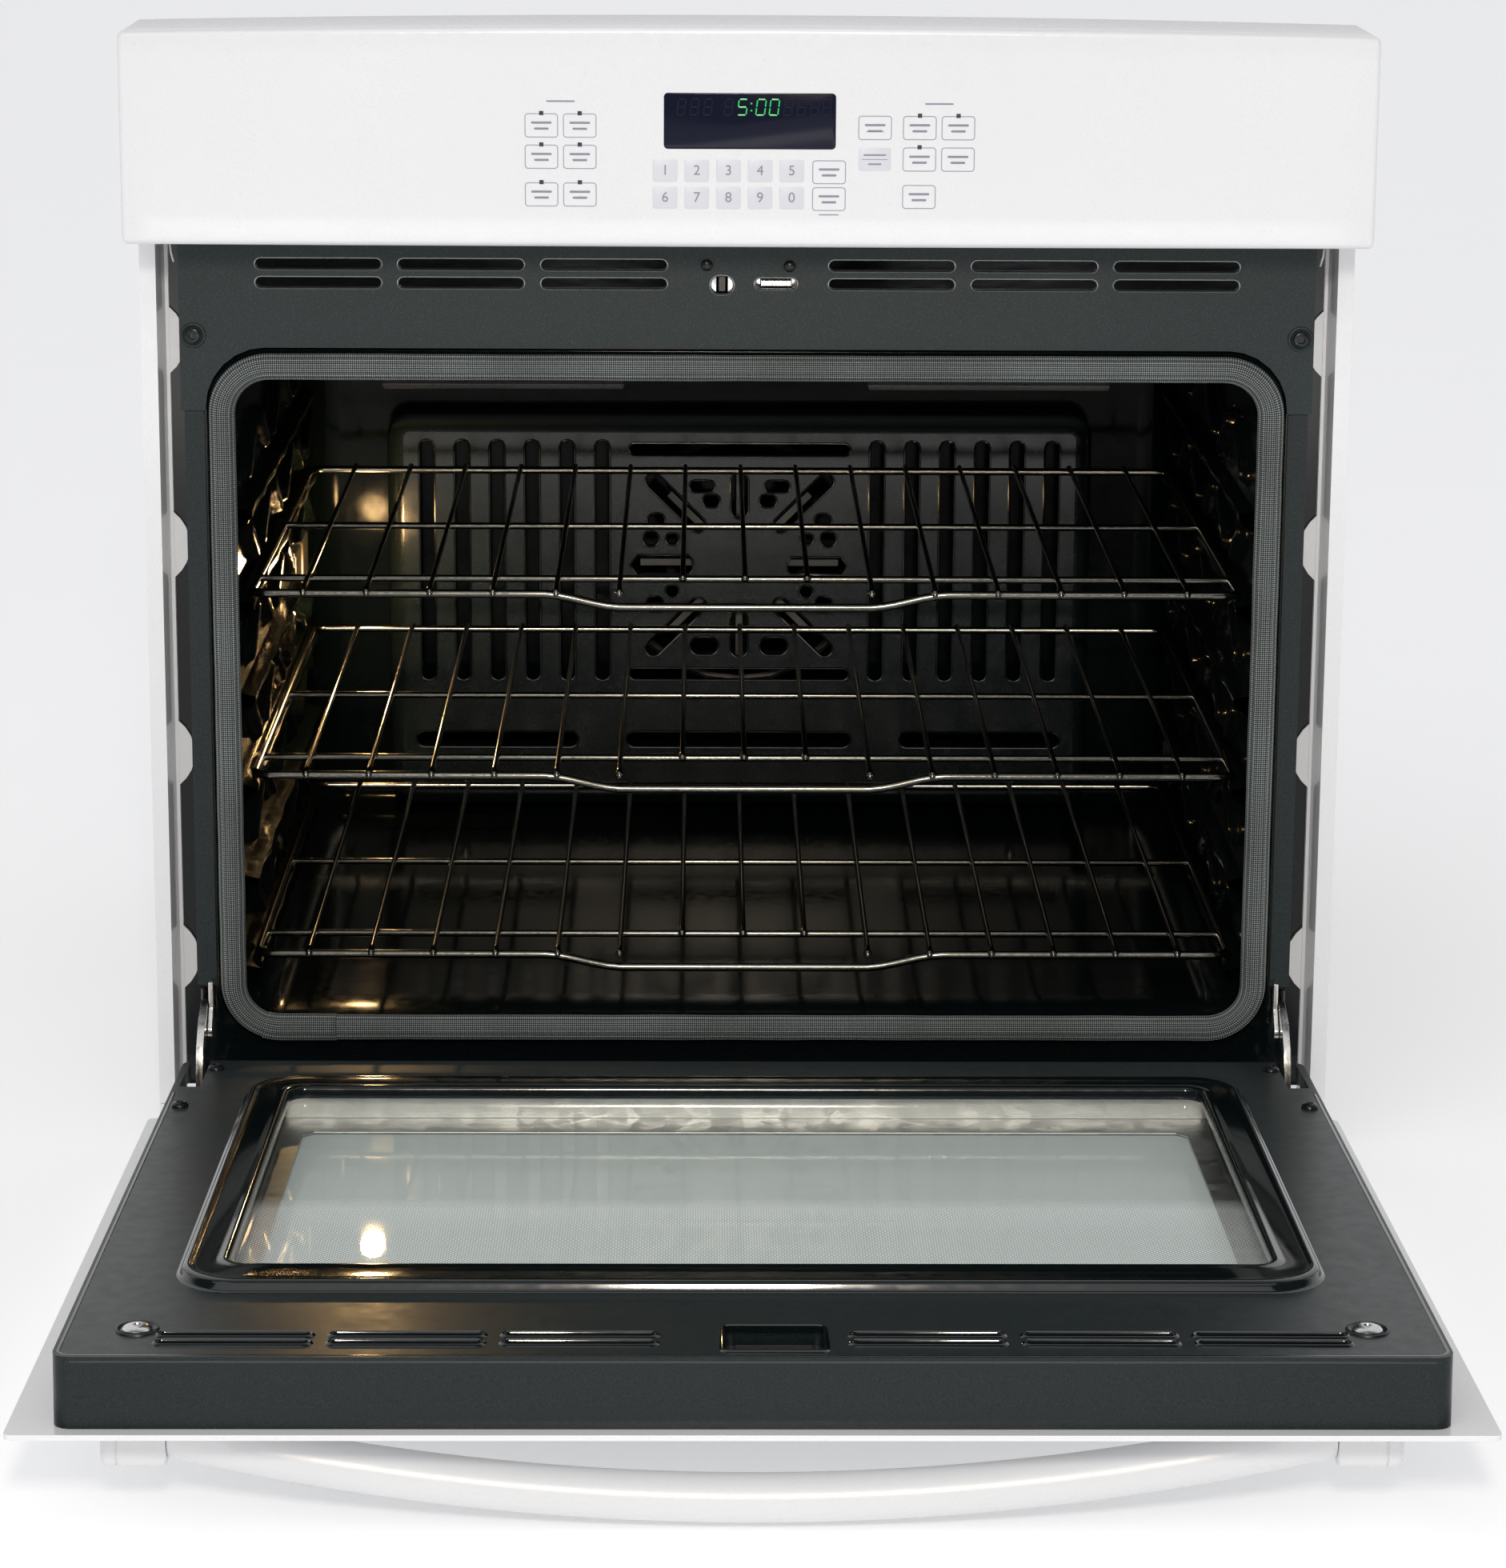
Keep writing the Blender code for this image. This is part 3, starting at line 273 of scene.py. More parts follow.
def lens_glow(name):
    """The lamp's lens: dark but for the flame-shaped image of the filament at its middle."""
    material, tree, shader, place = blank(name)
    across, high = 90.0, 48.0
    middle = (0, -LAMP_Y * MM * across, -LAMP_Z * MM * high)
    around = {"Vector": place, "Scale": (0, across, high), "Location": middle}
    spot = node(tree, "ShaderNodeMapping", around).outputs["Vector"]
    away = node(tree, "ShaderNodeVectorMath", {0: spot}, operation="LENGTH").outputs["Value"]
    glow = ramp(tree, away, [(0.0, (1, 0.9, 0.66, 1)), (0.6, (0.4, 0.2, 0.06, 1)),
                             (1.0, (0.012, 0.008, 0.004, 1))])
    slow = blurred(tree, place, 60.0)
    tone = ramp(tree, slow, [(0.3, (0.02, 0.018, 0.014, 1)), (0.7, (0.035, 0.03, 0.022, 1))])
    feed(tree, shader, {"Base Color": tone, "Roughness": 0.1, "Emission Color": glow,
                        "Emission Strength": 1.8})
    return material


def liner_paint(name):
    """The door liner's enamel: satin, its broad face painted paler where it faces up as a painted sheen,
    darker and closer on its walls.
    """
    material, tree, shader, place = blank(name)
    # Painted sheen: where the liner faces up, its broad face takes a paler tone than its walls.
    painted_sheen_share = spread(tree, upward(tree), 0.0, 1.0, 0.6, 0.9)
    fine = blurred(tree, place, 1300.0, 1.0)
    # The broad face's paler tone is painted sheen.
    face = ramp(tree, fine, [(0.4, (0.015, 0.021, 0.0215, 1)), (0.75, (0.034, 0.043, 0.044, 1))])
    wall = ramp(tree, fine, [(0.4, (0.004, 0.0085, 0.0095, 1)), (0.75, (0.013, 0.021, 0.023, 1))])
    gloss = blurred(tree, place, 110.0)
    rough = spread(tree, gloss, 0.29, 0.37)
    feed(tree, shader, {"Base Color": mixed(tree, painted_sheen_share, wall, face), "Specular IOR Level": 0.3,
                        "Roughness": rough, "Normal": bumpy(tree, gloss, 0.015, 0.05)})
    return material


def frame_paint(name):
    """Porcelain all over, with the charcoal paint on the raised strips beside the mouth. Below the strips, on
    the bottom rail, the near-black glaze is partly painted shade.
    """
    material, tree, shader, place = blank(name)
    inside, foot, front = 336.6 * MM, 113.7 * MM, 0.4 * MM
    parts = parted(tree, place)
    wide = maths(tree, "GREATER_THAN", maths(tree, "ABSOLUTE", parts["X"]), inside)
    high = maths(tree, "GREATER_THAN", parts["Z"], foot)
    proud = maths(tree, "LESS_THAN", parts["Y"], front)
    strip = maths(tree, "MULTIPLY", maths(tree, "MULTIPLY", wide, high), proud)
    fine = blurred(tree, place, 1400.0, 1.0)
    paint = ramp(tree, fine, [(0.4, (0.006, 0.012, 0.0135, 1)), (0.75, (0.022, 0.033, 0.036, 1))])
    # Near-black glaze: the porcelain's own colour round the mouth; on the bottom rail it is partly painted
    # shade.
    glaze_and_painted_shade = ramp(tree, fine, [(0.62, (0.0022, 0.0036, 0.004, 1)), (0.8, (0.02, 0.026, 0.027, 1))])
    ripple = bumpy(tree, blurred(tree, place, 120.0), 0.06, 0.05)
    feed(tree, shader, {"Base Color": mixed(tree, strip, glaze_and_painted_shade, paint), "Specular IOR Level": 0.28,
                        "Roughness": spread(tree, strip, 0.12, 0.5, 0, 1), "Normal": ripple})
    return material


WHITE = coated("enamel_white", (0.79, 0.795, 0.812), 0.2, coat=0.4, mottle=0.012, fleck=(0.74, 0.74, 0.765),
    fleck_size=0.9, ripple=0.05, ripple_size=6.0)
HANDLE_WHITE = coated("handle_white", (0.71, 0.715, 0.725), 0.36, mottle=0.015, fleck=(0.66, 0.66, 0.68),
    fleck_size=0.7, ripple=0.06, ripple_size=4.0)
CHARCOAL = coated("charcoal_paint", (0.0125, 0.0215, 0.0235), 0.46, mottle=0.1, fleck=(0.045, 0.062, 0.066),
    ripple=0.12, ripple_size=3.0, shine=0.3)
SLOT_LIP = coated("slot_lip", (0.15, 0.165, 0.17), 0.18, 0.6, coat=0.6, mottle=0.1,
    fleck=(0.06, 0.07, 0.07), ripple=0.05, ripple_size=3.0, sweep=0.03)
PORCELAIN = coated("black_porcelain", (0.0016, 0.0032, 0.0032), 0.15, fleck=(0.008, 0.012, 0.012),
    fleck_size=0.9, ripple=0.05, ripple_size=7.0, sweep=0.04)
LINER_GLAZE = coated("liner_porcelain", (0.0065, 0.0115, 0.012), 0.34, fleck=(0.02, 0.027, 0.028),
    ripple=0.015, ripple_size=9.0, sweep=0.03, shine=0.42)
CAVITY_GLAZE = coated("cavity_porcelain", (0.0016, 0.0034, 0.0034), 0.13, fleck=(0.007, 0.011, 0.011),
    fleck_size=0.9, ripple=0.04, sweep=0.04, shine=0.16, index=1.26)
PAN_GLAZE = coated("baffle_porcelain", (0.0058, 0.0102, 0.0106), 0.2, fleck=(0.014, 0.02, 0.0205),
    fleck_size=0.9, ripple=0.03, ripple_size=9.0, sweep=0.03, shine=0.42)
# Painted light: the baffle pan's up-facing rolled edges take a paler tone, as if lit from above.
painted_light_above(PAN_GLAZE, (0.07, 0.084, 0.086))
BEAD_GLAZE = coated("bead_porcelain", (0.003, 0.0055, 0.006), 0.1, coat=0.5, fleck=(0.012, 0.016, 0.017),
    ripple=0.01, ripple_size=9.0, sweep=0.03)
LINER_PAINT = liner_paint("liner_enamel")
GALVANISED = spangled("galvanised_steel", (0.55, 0.56, 0.57), 0.42)
# Painted shade: the galvanised cooling deck and blower housing get a darker tone so the vent slots look
# shaded inside.
SHADE_DARKENED_STEEL = spangled("shade_darkened_steel", (0.14, 0.145, 0.15), 0.5)
FAN_STEEL = spangled("fan_steel", (0.1, 0.1, 0.095), 0.5)
BRIGHT = coated("bright_steel", (0.66, 0.66, 0.65), 0.24, 1.0, mottle=0.08, fleck=(0.4, 0.4, 0.39),
    fleck_size=1.5, ripple=0.2, ripple_size=2.0, stretch=(1, 1, 0.15), sweep=0.08)
RACK = coated("rack_wire", (0.12, 0.12, 0.108), 0.19, 1.0, mottle=0.2, fleck=(0.22, 0.2, 0.17),
    fleck_size=1.0, ripple=0.12, ripple_size=1.8)
SHEATH = coated("element_sheath", (0.07, 0.065, 0.06), 0.5, 0.7, mottle=0.3, fleck=(0.02, 0.018, 0.016),
    fleck_size=1.2, ripple=0.3, ripple_size=2.0)
BRAID = braided("gasket_braid")
WOOL = woolly("mineral_wool")
GLASS = clear("clear_glass", (0.98, 0.99, 0.985), 1.08)
# The middle pane's pale layer is painted light over the shaded view through the door.
PAINTED_LIGHT_GLASS = clear("painted_light_glass", (0.98, 0.99, 0.985), 1.08, painted_light_share=0.72)
DOTTED = clear("dotted_glass", (0.975, 0.987, 0.98), 1.3, dots=-0.308)
LAMP_GLASS = lens_glow("lamp_glass")
BULB = glowing("lamp_bulb", (1.0, 0.72, 0.4), 20.0, (0.8, 0.7, 0.5))
DISPLAY = coated("display_glass", (0.0075, 0.009, 0.022), 0.12, mottle=0.1, ripple=0.01, ripple_size=20.0,
    sweep=0.02, shine=0.15)
BOARD = coated("circuit_board", (0.03, 0.16, 0.07), 0.42, mottle=0.25, fleck=(0.35, 0.3, 0.12),
    fleck_size=2.5)
BLACK = coated("black_plastic", (0.012, 0.013, 0.014), 0.4, fleck=(0.03, 0.032, 0.033), fleck_size=0.6,
    ripple=0.2, ripple_size=1.5)
BLACK_SCREW = coated("black_screw", (0.01, 0.012, 0.013), 0.28, 0.4, mottle=0.15,
    fleck=(0.05, 0.055, 0.055), fleck_size=1.2, ripple=0.15, ripple_size=2.0)
FRAME_PAINT = frame_paint("frame_finish")
KEY_LINE = coated("key_line", (0.33, 0.33, 0.42), 0.4, mottle=0.06, ripple=0.02)
KEY_FILL = coated("key_fill", (0.66, 0.665, 0.72), 0.34, mottle=0.02, ripple=0.04)
KEY_INK = coated("key_ink", (0.24, 0.245, 0.33), 0.5, mottle=0.1, ripple=0.02)
LED_DARK = coated("led_window", (0.03, 0.03, 0.06), 0.2, mottle=0.1, ripple=0.02)
LIT = glowing("lit_segment", (0.01, 0.55, 0.11), 1.0, (0.004, 0.02, 0.008))
UNLIT = coated("unlit_segment", (0.012, 0.014, 0.03), 0.4, mottle=0.1, ripple=0.02, shine=0.05)


# ---------------------------------------------------------------- mesh tools


def opened(point):
    """A point drawn with the door closed, where it is with the door at rest, open."""
    x, y, z = point
    dy, dz = y - HINGE[0], z - HINGE[1]
    c, s = math.cos(OPEN_ANGLE), math.sin(OPEN_ANGLE)
    return (x, HINGE[0] + dy * c - dz * s, HINGE[1] + dy * s + dz * c)


def arc(u, v, radius, start, end, steps):
    angles = (math.radians(start + (end - start) * i / steps) for i in range(steps + 1))
    return [(u + radius * math.cos(a), v + radius * math.sin(a)) for a in angles]


def rounded(left, right, low, high, radius, steps=6, pitch=0.0):
    """A rectangle with round corners, anticlockwise; pitch breaks its straight sides into short steps."""
    corners = ((right, high, -1, -1, 0), (left, high, 1, -1, 90),
               (left, low, 1, 1, 180), (right, low, -1, 1, 270))
    points = [p for u, v, a, b, turn in corners
              for p in arc(u + a * radius, v + b * radius, radius, turn, turn + 90, steps)]
    if not pitch:
        return points
    fine = []
    for here, after in zip(points, points[1:] + points[:1]):
        count = max(1, round(math.dist(here, after) / pitch))
        fine += [(here[0] + (after[0] - here[0]) * i / count, here[1] + (after[1] - here[1]) * i / count)
                 for i in range(count)]
    return fine


def centred(x, z, wide, high, radius, steps=5):
    return rounded(x - wide / 2, x + wide / 2, z - high / 2, z + high / 2, radius, steps)


def slot_loop(x, z, length, height):
    loop = centred(x, z, length, height, height / 2)
    return [p for i, p in enumerate(loop) if math.dist(p, loop[i - 1]) > 1e-3]


def grown(loop, by):
    """The loop moved outwards along its own normals."""
    made = []
    for i, (u, v) in enumerate(loop):
        before, after = loop[i - 1], loop[(i + 1) % len(loop)]
        du, dv = after[0] - before[0], after[1] - before[1]
        size = math.hypot(du, dv) or 1.0
        made.append((u + by * dv / size, v - by * du / size))
    return made


def round_tips(rings, radius):
    """A tube's rings with its two ends rounded over half its radius."""
    steps = ((0.25, 0.98), (0.42, 0.85), (0.5, 0.6))
    (first, ahead, side, _), (last, ahead2, side2, _) = rings[0], rings[-1]
    front = [(first - ahead * radius * d, ahead, side, size) for d, size in reversed(steps)]
    back = [(last + ahead2 * radius * d, ahead2, side2, size) for d, size in steps]
    return front + rings + back


class Shape:
    """Points in millimetres and faces, gathered before they become one piece."""

    def __init__(self):
        self.points, self.faces = [], []

    def rows(self, rows, around=True, along=False, caps=False):
        """Quads between rows of equal length: around closes each row, along joins the last to the first."""
        start, wide = len(self.points), len(rows[0])
        for row in rows:
            self.points += row
        count = len(rows) if along else len(rows) - 1
        for r in range(count):
            a, b = start + r * wide, start + (r + 1) % len(rows) * wide
            for i in range(wide if around else wide - 1):
                j = (i + 1) % wide
                self.faces.append((a + i, a + j, b + j, b + i))
        if caps:
            self.faces.append(tuple(range(start, start + wide)))
            end = start + (len(rows) - 1) * wide
            self.faces.append(tuple(reversed(range(end, end + wide))))
        return self

    def tube(self, path, radius, sides, closed=False):
        """A round bar with round tips through the points."""
        path = [Vector(p) for p in path]
        count = len(path)
        side = None
        rings = []
        for i, point in enumerate(path):
            before = path[i - 1] if i or closed else point
            after = path[(i + 1) % count] if i < count - 1 or closed else point
            ahead = (after - before).normalized()
            if side is None:
                side = ahead.orthogonal().normalized()
            side = (side - ahead * side.dot(ahead)).normalized()
            rings.append((point, ahead, side, 1.0))
        if not closed:
            rings = round_tips(rings, radius)
        rows = []
        for point, ahead, side, size in rings:
            other = ahead.cross(side)
            rows.append([tuple(point + (side * math.cos(a) + other * math.sin(a)) * radius * size)
                         for a in (2 * math.pi * k / sides for k in range(sides))])
        return self.rows(rows, along=closed, caps=not closed)

    def plate(self, loop, front, back, edge):
        """A flat piece in the XZ plane, its front edge rounded; front is its lower Y."""
        sides = [(0, back)] + [(edge * (1 - math.cos(a)), front + edge * (1 - math.sin(a)))
                               for a in (0.0, math.pi / 6, math.pi / 3, math.pi / 2)]
        return self.rows([[(x, y, z) for x, z in grown(loop, -inset)] for inset, y in sides], caps=True)

    def ring(self, loop, profile, base=0.0):
        """Sweeps a profile of (outwards, y from base) points round a loop in the XZ plane."""
        return self.rows([[(x, base + y, z) for x, z in grown(loop, out)] for out, y in profile])

    def turned(self, centre, profile, sides=28, base=0.0):
        """A turned piece about a line along Y, from (radius, y from base) points."""
        return self.rows([[(u, base + y, v) for u, v in arc(*centre, max(radius, 0.01), 0, 360, sides)[:-1]]
                          for radius, y in profile], caps=True)

    def sheet(self, loops, front, thick, edge=0.4):
        """A flat sheet in the XZ plane, round at its edges: the first loop is its outline, the rest holes."""
        curve = settled(bpy.data.curves.new("sheet", "CURVE"), dimensions="2D", fill_mode="BOTH",
                        extrude=thick / 2 - edge, bevel_depth=edge, bevel_resolution=2, offset=-edge)
        for loop in loops:
            spline = curve.splines.new("POLY")
            spline.points.add(len(loop) - 1)
            for point, (x, z) in zip(spline.points, loop):
                point.co = (x, z, 0, 1)
            spline.use_cyclic_u = True
        return self.curve(curve, lambda p: (p.x, front + thick / 2 - p.z, p.y))

    def curve(self, curve, place):
        """Takes in the mesh that a curve or a text makes, each of its points moved by place."""
        holder = linked("holder", curve)
        bpy.context.view_layer.update()
        mesh = bpy.data.meshes.new_from_object(holder.evaluated_get(bpy.context.evaluated_depsgraph_get()))
        bpy.data.objects.remove(holder)
        points = [place(v.co) for v in mesh.vertices]
        return self.add(points, [tuple(face.vertices) for face in mesh.polygons])

    def add(self, points, faces):
        start = len(self.points)
        self.points += points
        self.faces += [tuple(start + i for i in face) for face in faces]
        return self

    def box(self, low, high):
        wide, tall, edge = high[0] - low[0], high[2] - low[2], 0.4
        radius = min(edge * 1.5, wide / 2.2, tall / 2.2)
        return self.plate(rounded(low[0], high[0], low[2], high[2], radius, 3), low[1], high[1], edge)

    def moved(self, change):
        self.points = [change(p) for p in self.points]
        return self

    def piece(self, name, look, body="root", slot=None, stands_for=(), angle=38):
        """Makes the mesh object, sharp where faces meet at more than angle, riding on its body."""
        mesh = bpy.data.meshes.new(name)
        mesh.from_pydata([Vector(p) * MM for p in self.points], [], self.faces)
        bm = bmesh.new()
        bm.from_mesh(mesh)
        bmesh.ops.recalc_face_normals(bm, faces=bm.faces)
        bm.to_mesh(mesh)
        bm.free()
        mesh.shade_smooth()
        mesh.set_sharp_from_angle(angle=math.radians(angle))
        obj = linked(name, mesh)
        mesh.materials.append(look)
        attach(obj, body)
        if stands_for:
            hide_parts(*stands_for)
        return obj


def soften(name, look, width, segments):
    """Gives a CAD node its material and small round edges, without moving or changing its mesh."""
    obj = nodes[name]
    obj.data.materials.clear()
    obj.data.materials.append(look)
    obj.data.shade_smooth()
    if "custom_normal" in obj.data.attributes:
        obj.data.attributes.remove(obj.data.attributes["custom_normal"])
    settled(obj.modifiers.new("weld", "WELD"), merge_threshold=1e-5)
    settled(obj.modifiers.new("flat", "DECIMATE"), decimate_type="DISSOLVE", angle_limit=math.radians(0.6))
    settled(obj.modifiers.new("edge", "BEVEL"), width=width * MM, segments=segments, limit_method="ANGLE",
            angle_limit=math.radians(35))
    settled(obj.modifiers.new("normals", "WEIGHTED_NORMAL"), keep_sharp=True)


# ---------------------------------------------------------------- CAD nodes that stay


# Each row is a material, how far it rounds edges in millimetres, and the nodes that take it.
KEPT = (
    (GALVANISED, 0.5, ("base_pan", "left_side_panel", "right_side_panel", "back_panel", "top_cover",
                       "window_pack_frame", "lamp_housing", "cooling_blower_wheel", "terminal_box",
                       "left_hinge_receiver", "right_hinge_receiver")),
    # Painted shade: a darker tone on the galvanised deck and blower housing behind the vent slots.
    (SHADE_DARKENED_STEEL, 0.5, ("cooling_deck", "cooling_blower_housing")),
    (FAN_STEEL, 0.5, ("convection_fan",)),
    (WHITE, 0.8, ("bottom_trim", "left_side_trim", "right_side_trim", "door_outer_panel")),
    (CHARCOAL, 0.5, ("vent_panel",)),
    (FRAME_PAINT, 0.5, ("front_frame",)),
    (LINER_PAINT, 2.4, ("door_liner",)),
    (BRIGHT, 0.4, ("left_hinge_arm", "right_hinge_arm", "left_hinge_lock", "right_hinge_lock",
                   "left_hinge_channel", "right_hinge_channel", "temperature_sensor", "latch_switch")),
    (SHEATH, 0.5, ("bake_element", "broil_element", "convection_element", "convection_motor",
                   "cooling_motor", "latch_hook")),
    (BLACK, 0.6, ("latch_motor", "conduit_gland")),
    (BOARD, 0.4, ("control_board",)),
    (GLASS, 0.3, ("door_outer_glass",)),
    (PAINTED_LIGHT_GLASS, 0.3, ("door_middle_glass",)),
    (DOTTED, 0.3, ("door_inner_glass",)),
    (LAMP_GLASS, 0.5, ("lamp_lens",)),
    (BULB, 0.5, ("lamp_bulb",)),
)


def keep_cad():
    for look, width, names in KEPT:
        for name in names:
            soften(name, look, width, 4 if name == "door_liner" else 2)


# ---------------------------------------------------------------- controls


def panel_face(x):
    """The Y of the control panel's bowed face."""
    return PANEL_FRONT - PANEL_BOW * (1 - (x / PANEL_HALF) ** 2)


def panel_top(x):
    return PANEL_SHOULDER + PANEL_ARCH * (1 - (x / PANEL_HALF) ** 2)


def control_panel():
    """A bowed, arched face whose edges roll back into its sides, open behind."""
    roll, back = 3.6, 26.0
    ends = [roll * (1 - math.cos(math.radians(a))) for a in range(0, 90, 15)]
    left = [-PANEL_HALF + e for e in ends]
    middle = [-PANEL_HALF + roll + (2 * PANEL_HALF - 2 * roll) * i / 56 for i in range(57)]
    rows = []
    for x in left + middle + [-x for x in reversed(left)]:
        short = max(0.0, roll - (PANEL_HALF - abs(x)))
        drop = roll - math.sqrt(max(roll**2 - short**2, 0.0))
        y, low, high = panel_face(x) + drop, PANEL_LOW + drop, panel_top(x) - drop
        section = [(back, low)] + arc(y + roll, low + roll, roll, 270, 180, 6)
        section += [(y, low + roll + (high - low - 2 * roll) * i / 8) for i in range(1, 8)]
        section += arc(y + roll, high - roll, roll, 180, 90, 6) + [(back, high)]
        rows.append([(x, y, z) for y, z in section])
    panel = Shape().rows(rows, around=False, caps=True).piece(
        "control_panel_face", WHITE, slot="white_enamel", stands_for=["control_panel"], angle=60)
    settled(panel.modifiers.new("sheet", "SOLIDIFY"), thickness=1.6 * MM, offset=-1)


def on_face(shape, proud):
    """Moves a flat shape drawn about Y 0 onto the panel's face, standing proud of it."""
    return shape.moved(lambda p: (p[0], panel_face(p[0]) - proud + p[1], p[2]))


# A key is its centre's X and Z, its width and its height.
OUTLINED_KEYS = (
    [(x, z, 19.9, 14.4) for z in (671.9, 653.1, 630.4) for x in (-124.8, -101.8)]
    + [(47.7, 644.5, 20.0, 14.2), (47.7, 628.3, 20.0, 14.2), (75.0, 671.3, 20.0, 14.5)]
    + [(x, z, 20.0, 14.4) for z in (671.3, 652.4) for x in (101.8, 124.9)]
    + [(101.8, 629.8, 20.0, 14.3)]
)
FILLED_KEYS = [(-50.7 + 19.0 * i, z, 14.9, 13.8) for z in (645.2, 628.9) for i in range(5)]
FILLED_KEYS += [(75.0, 652.5, 19.4, 14.2)]
LED_KEYS = OUTLINED_KEYS[:6] + OUTLINED_KEYS[9:12]
LOOSE_BARS = ((75.0, 655.0, 13.5, 1.0), (75.0, 652.3, 15.5, 0.35), (75.0, 649.5, 8.0, 1.0),
              (75.0, 669.0, 11.0, 0.35), (47.7, 618.8, 12.0, 0.6), (-113.3, 686.5, 17.0, 0.9),
              (113.3, 685.8, 17.0, 0.9))


def keys():
    """Flat touch pads: printed outlines, filled pads, indicator windows, digits and plain bars for labels."""
    lines, pads, leds, ink = Shape(), Shape(), Shape(), Shape()
    for x, z, wide, high in OUTLINED_KEYS:
        lines.ring(centred(x, z, wide, high, 2.0), [(0.1, 0.1), (0.1, 0.0), (-0.5, 0.0), (-0.5, 0.1)])
        bar(ink, x, z + 1.7, wide * 0.62, 1.3)
        bar(ink, x, z - 1.9, wide * 0.44, 1.3)
    for x, z, wide, high in FILLED_KEYS:
        pads.plate(centred(x, z, wide, high, 1.6), 0.0, 0.12, 0.08)
    for x, z, _, high in LED_KEYS:
        leds.plate(centred(x, z + high / 2 + 0.2, 2.6, 2.6, 0.25, 2), -0.05, 0.12, 0.08)
    for x, z, wide, high in LOOSE_BARS:
        bar(ink, x, z, wide, high)
    on_face(lines, 0.06).piece("key_outlines", KEY_LINE)
    on_face(pads, 0.1).piece("key_pads", KEY_FILL)
    on_face(leds, 0.12).piece("key_indicators", LED_DARK)
    on_face(ink, 0.2).piece("key_marks", KEY_INK)
    digits()


def bar(shape, x, z, wide, high):
    shape.plate(centred(x, z, wide, high, high * 0.4, 2), 0.0, 0.1, 0.05)


def digits():
    """The number pads' digits, set flat on the face."""
    shape = Shape()
    for text, (x, z, _, _) in zip("1234567890", FILLED_KEYS):
        letter = settled(bpy.data.curves.new("digit", "FONT"), body=text, size=8.6, extrude=0.04,
                         align_x="CENTER", align_y="CENTER")
        shape.curve(letter, lambda p, x=x, z=z: (x + p.x, -p.z, z + p.y))
    on_face(shape, 0.2).piece("key_digits", KEY_INK)


SEGMENTS = {
    "a": ((0.12, 1.0), (0.88, 1.0)), "b": ((1.0, 0.93), (1.0, 0.56)), "c": ((1.0, 0.44), (1.0, 0.07)),
    "d": ((0.12, 0.0), (0.88, 0.0)), "e": ((0.0, 0.44), (0.0, 0.07)), "f": ((0.0, 0.93), (0.0, 0.56)),
    "g": ((0.12, 0.5), (0.88, 0.5)),
}
DIGIT_SEGMENTS = {"5": "acdfg", "0": "abcdef", "8": "abcdefg"}


def digit_segments(shape, text, left, wide):
    """Adds a seven-segment digit, leaning a little to the right."""
    low, high, lean = 678.6, 9.4, 0.12
    for segment in DIGIT_SEGMENTS[text]:
        ends = [(left + u * wide + v * high * lean, 0.0, low + v * high) for u, v in SEGMENTS[segment]]
        shape.tube(ends, 0.42, 6)


def display():
    """The glass window with its lit clock and the faint segments that aren't lit."""
    Shape().plate(rounded(-51.6, 51.6, 658.1, 691.9, 2.6), DISPLAY_FRONT, -56, 0.5).piece(
        "display_glass_pane", DISPLAY, slot="display_glass", stands_for=["display_window"])
    lit, unlit = Shape(), Shape()
    for text, left in (("5", -7.6), ("0", 3.4), ("0", 11.4)):
        digit_segments(lit, text, left, 5.2)
    for z in (681.4, 685.6):
        lit.tube([(0.8, 0, z - 0.2), (0.85, 0, z + 0.2)], 0.55, 8)
    for left in (-44, -36, -28, -15.6, 20.0, 28.0, 36.0, 43.0):
        digit_segments(unlit, "8", left, 4.6)
    for shape, name, look in ((lit, "clock_digits", LIT), (unlit, "unlit_digits", UNLIT)):
        shape.moved(lambda p: (p[0], DISPLAY_FRONT + p[1] * 0.2, p[2])).piece(name, look)


# ---------------------------------------------------------------- front


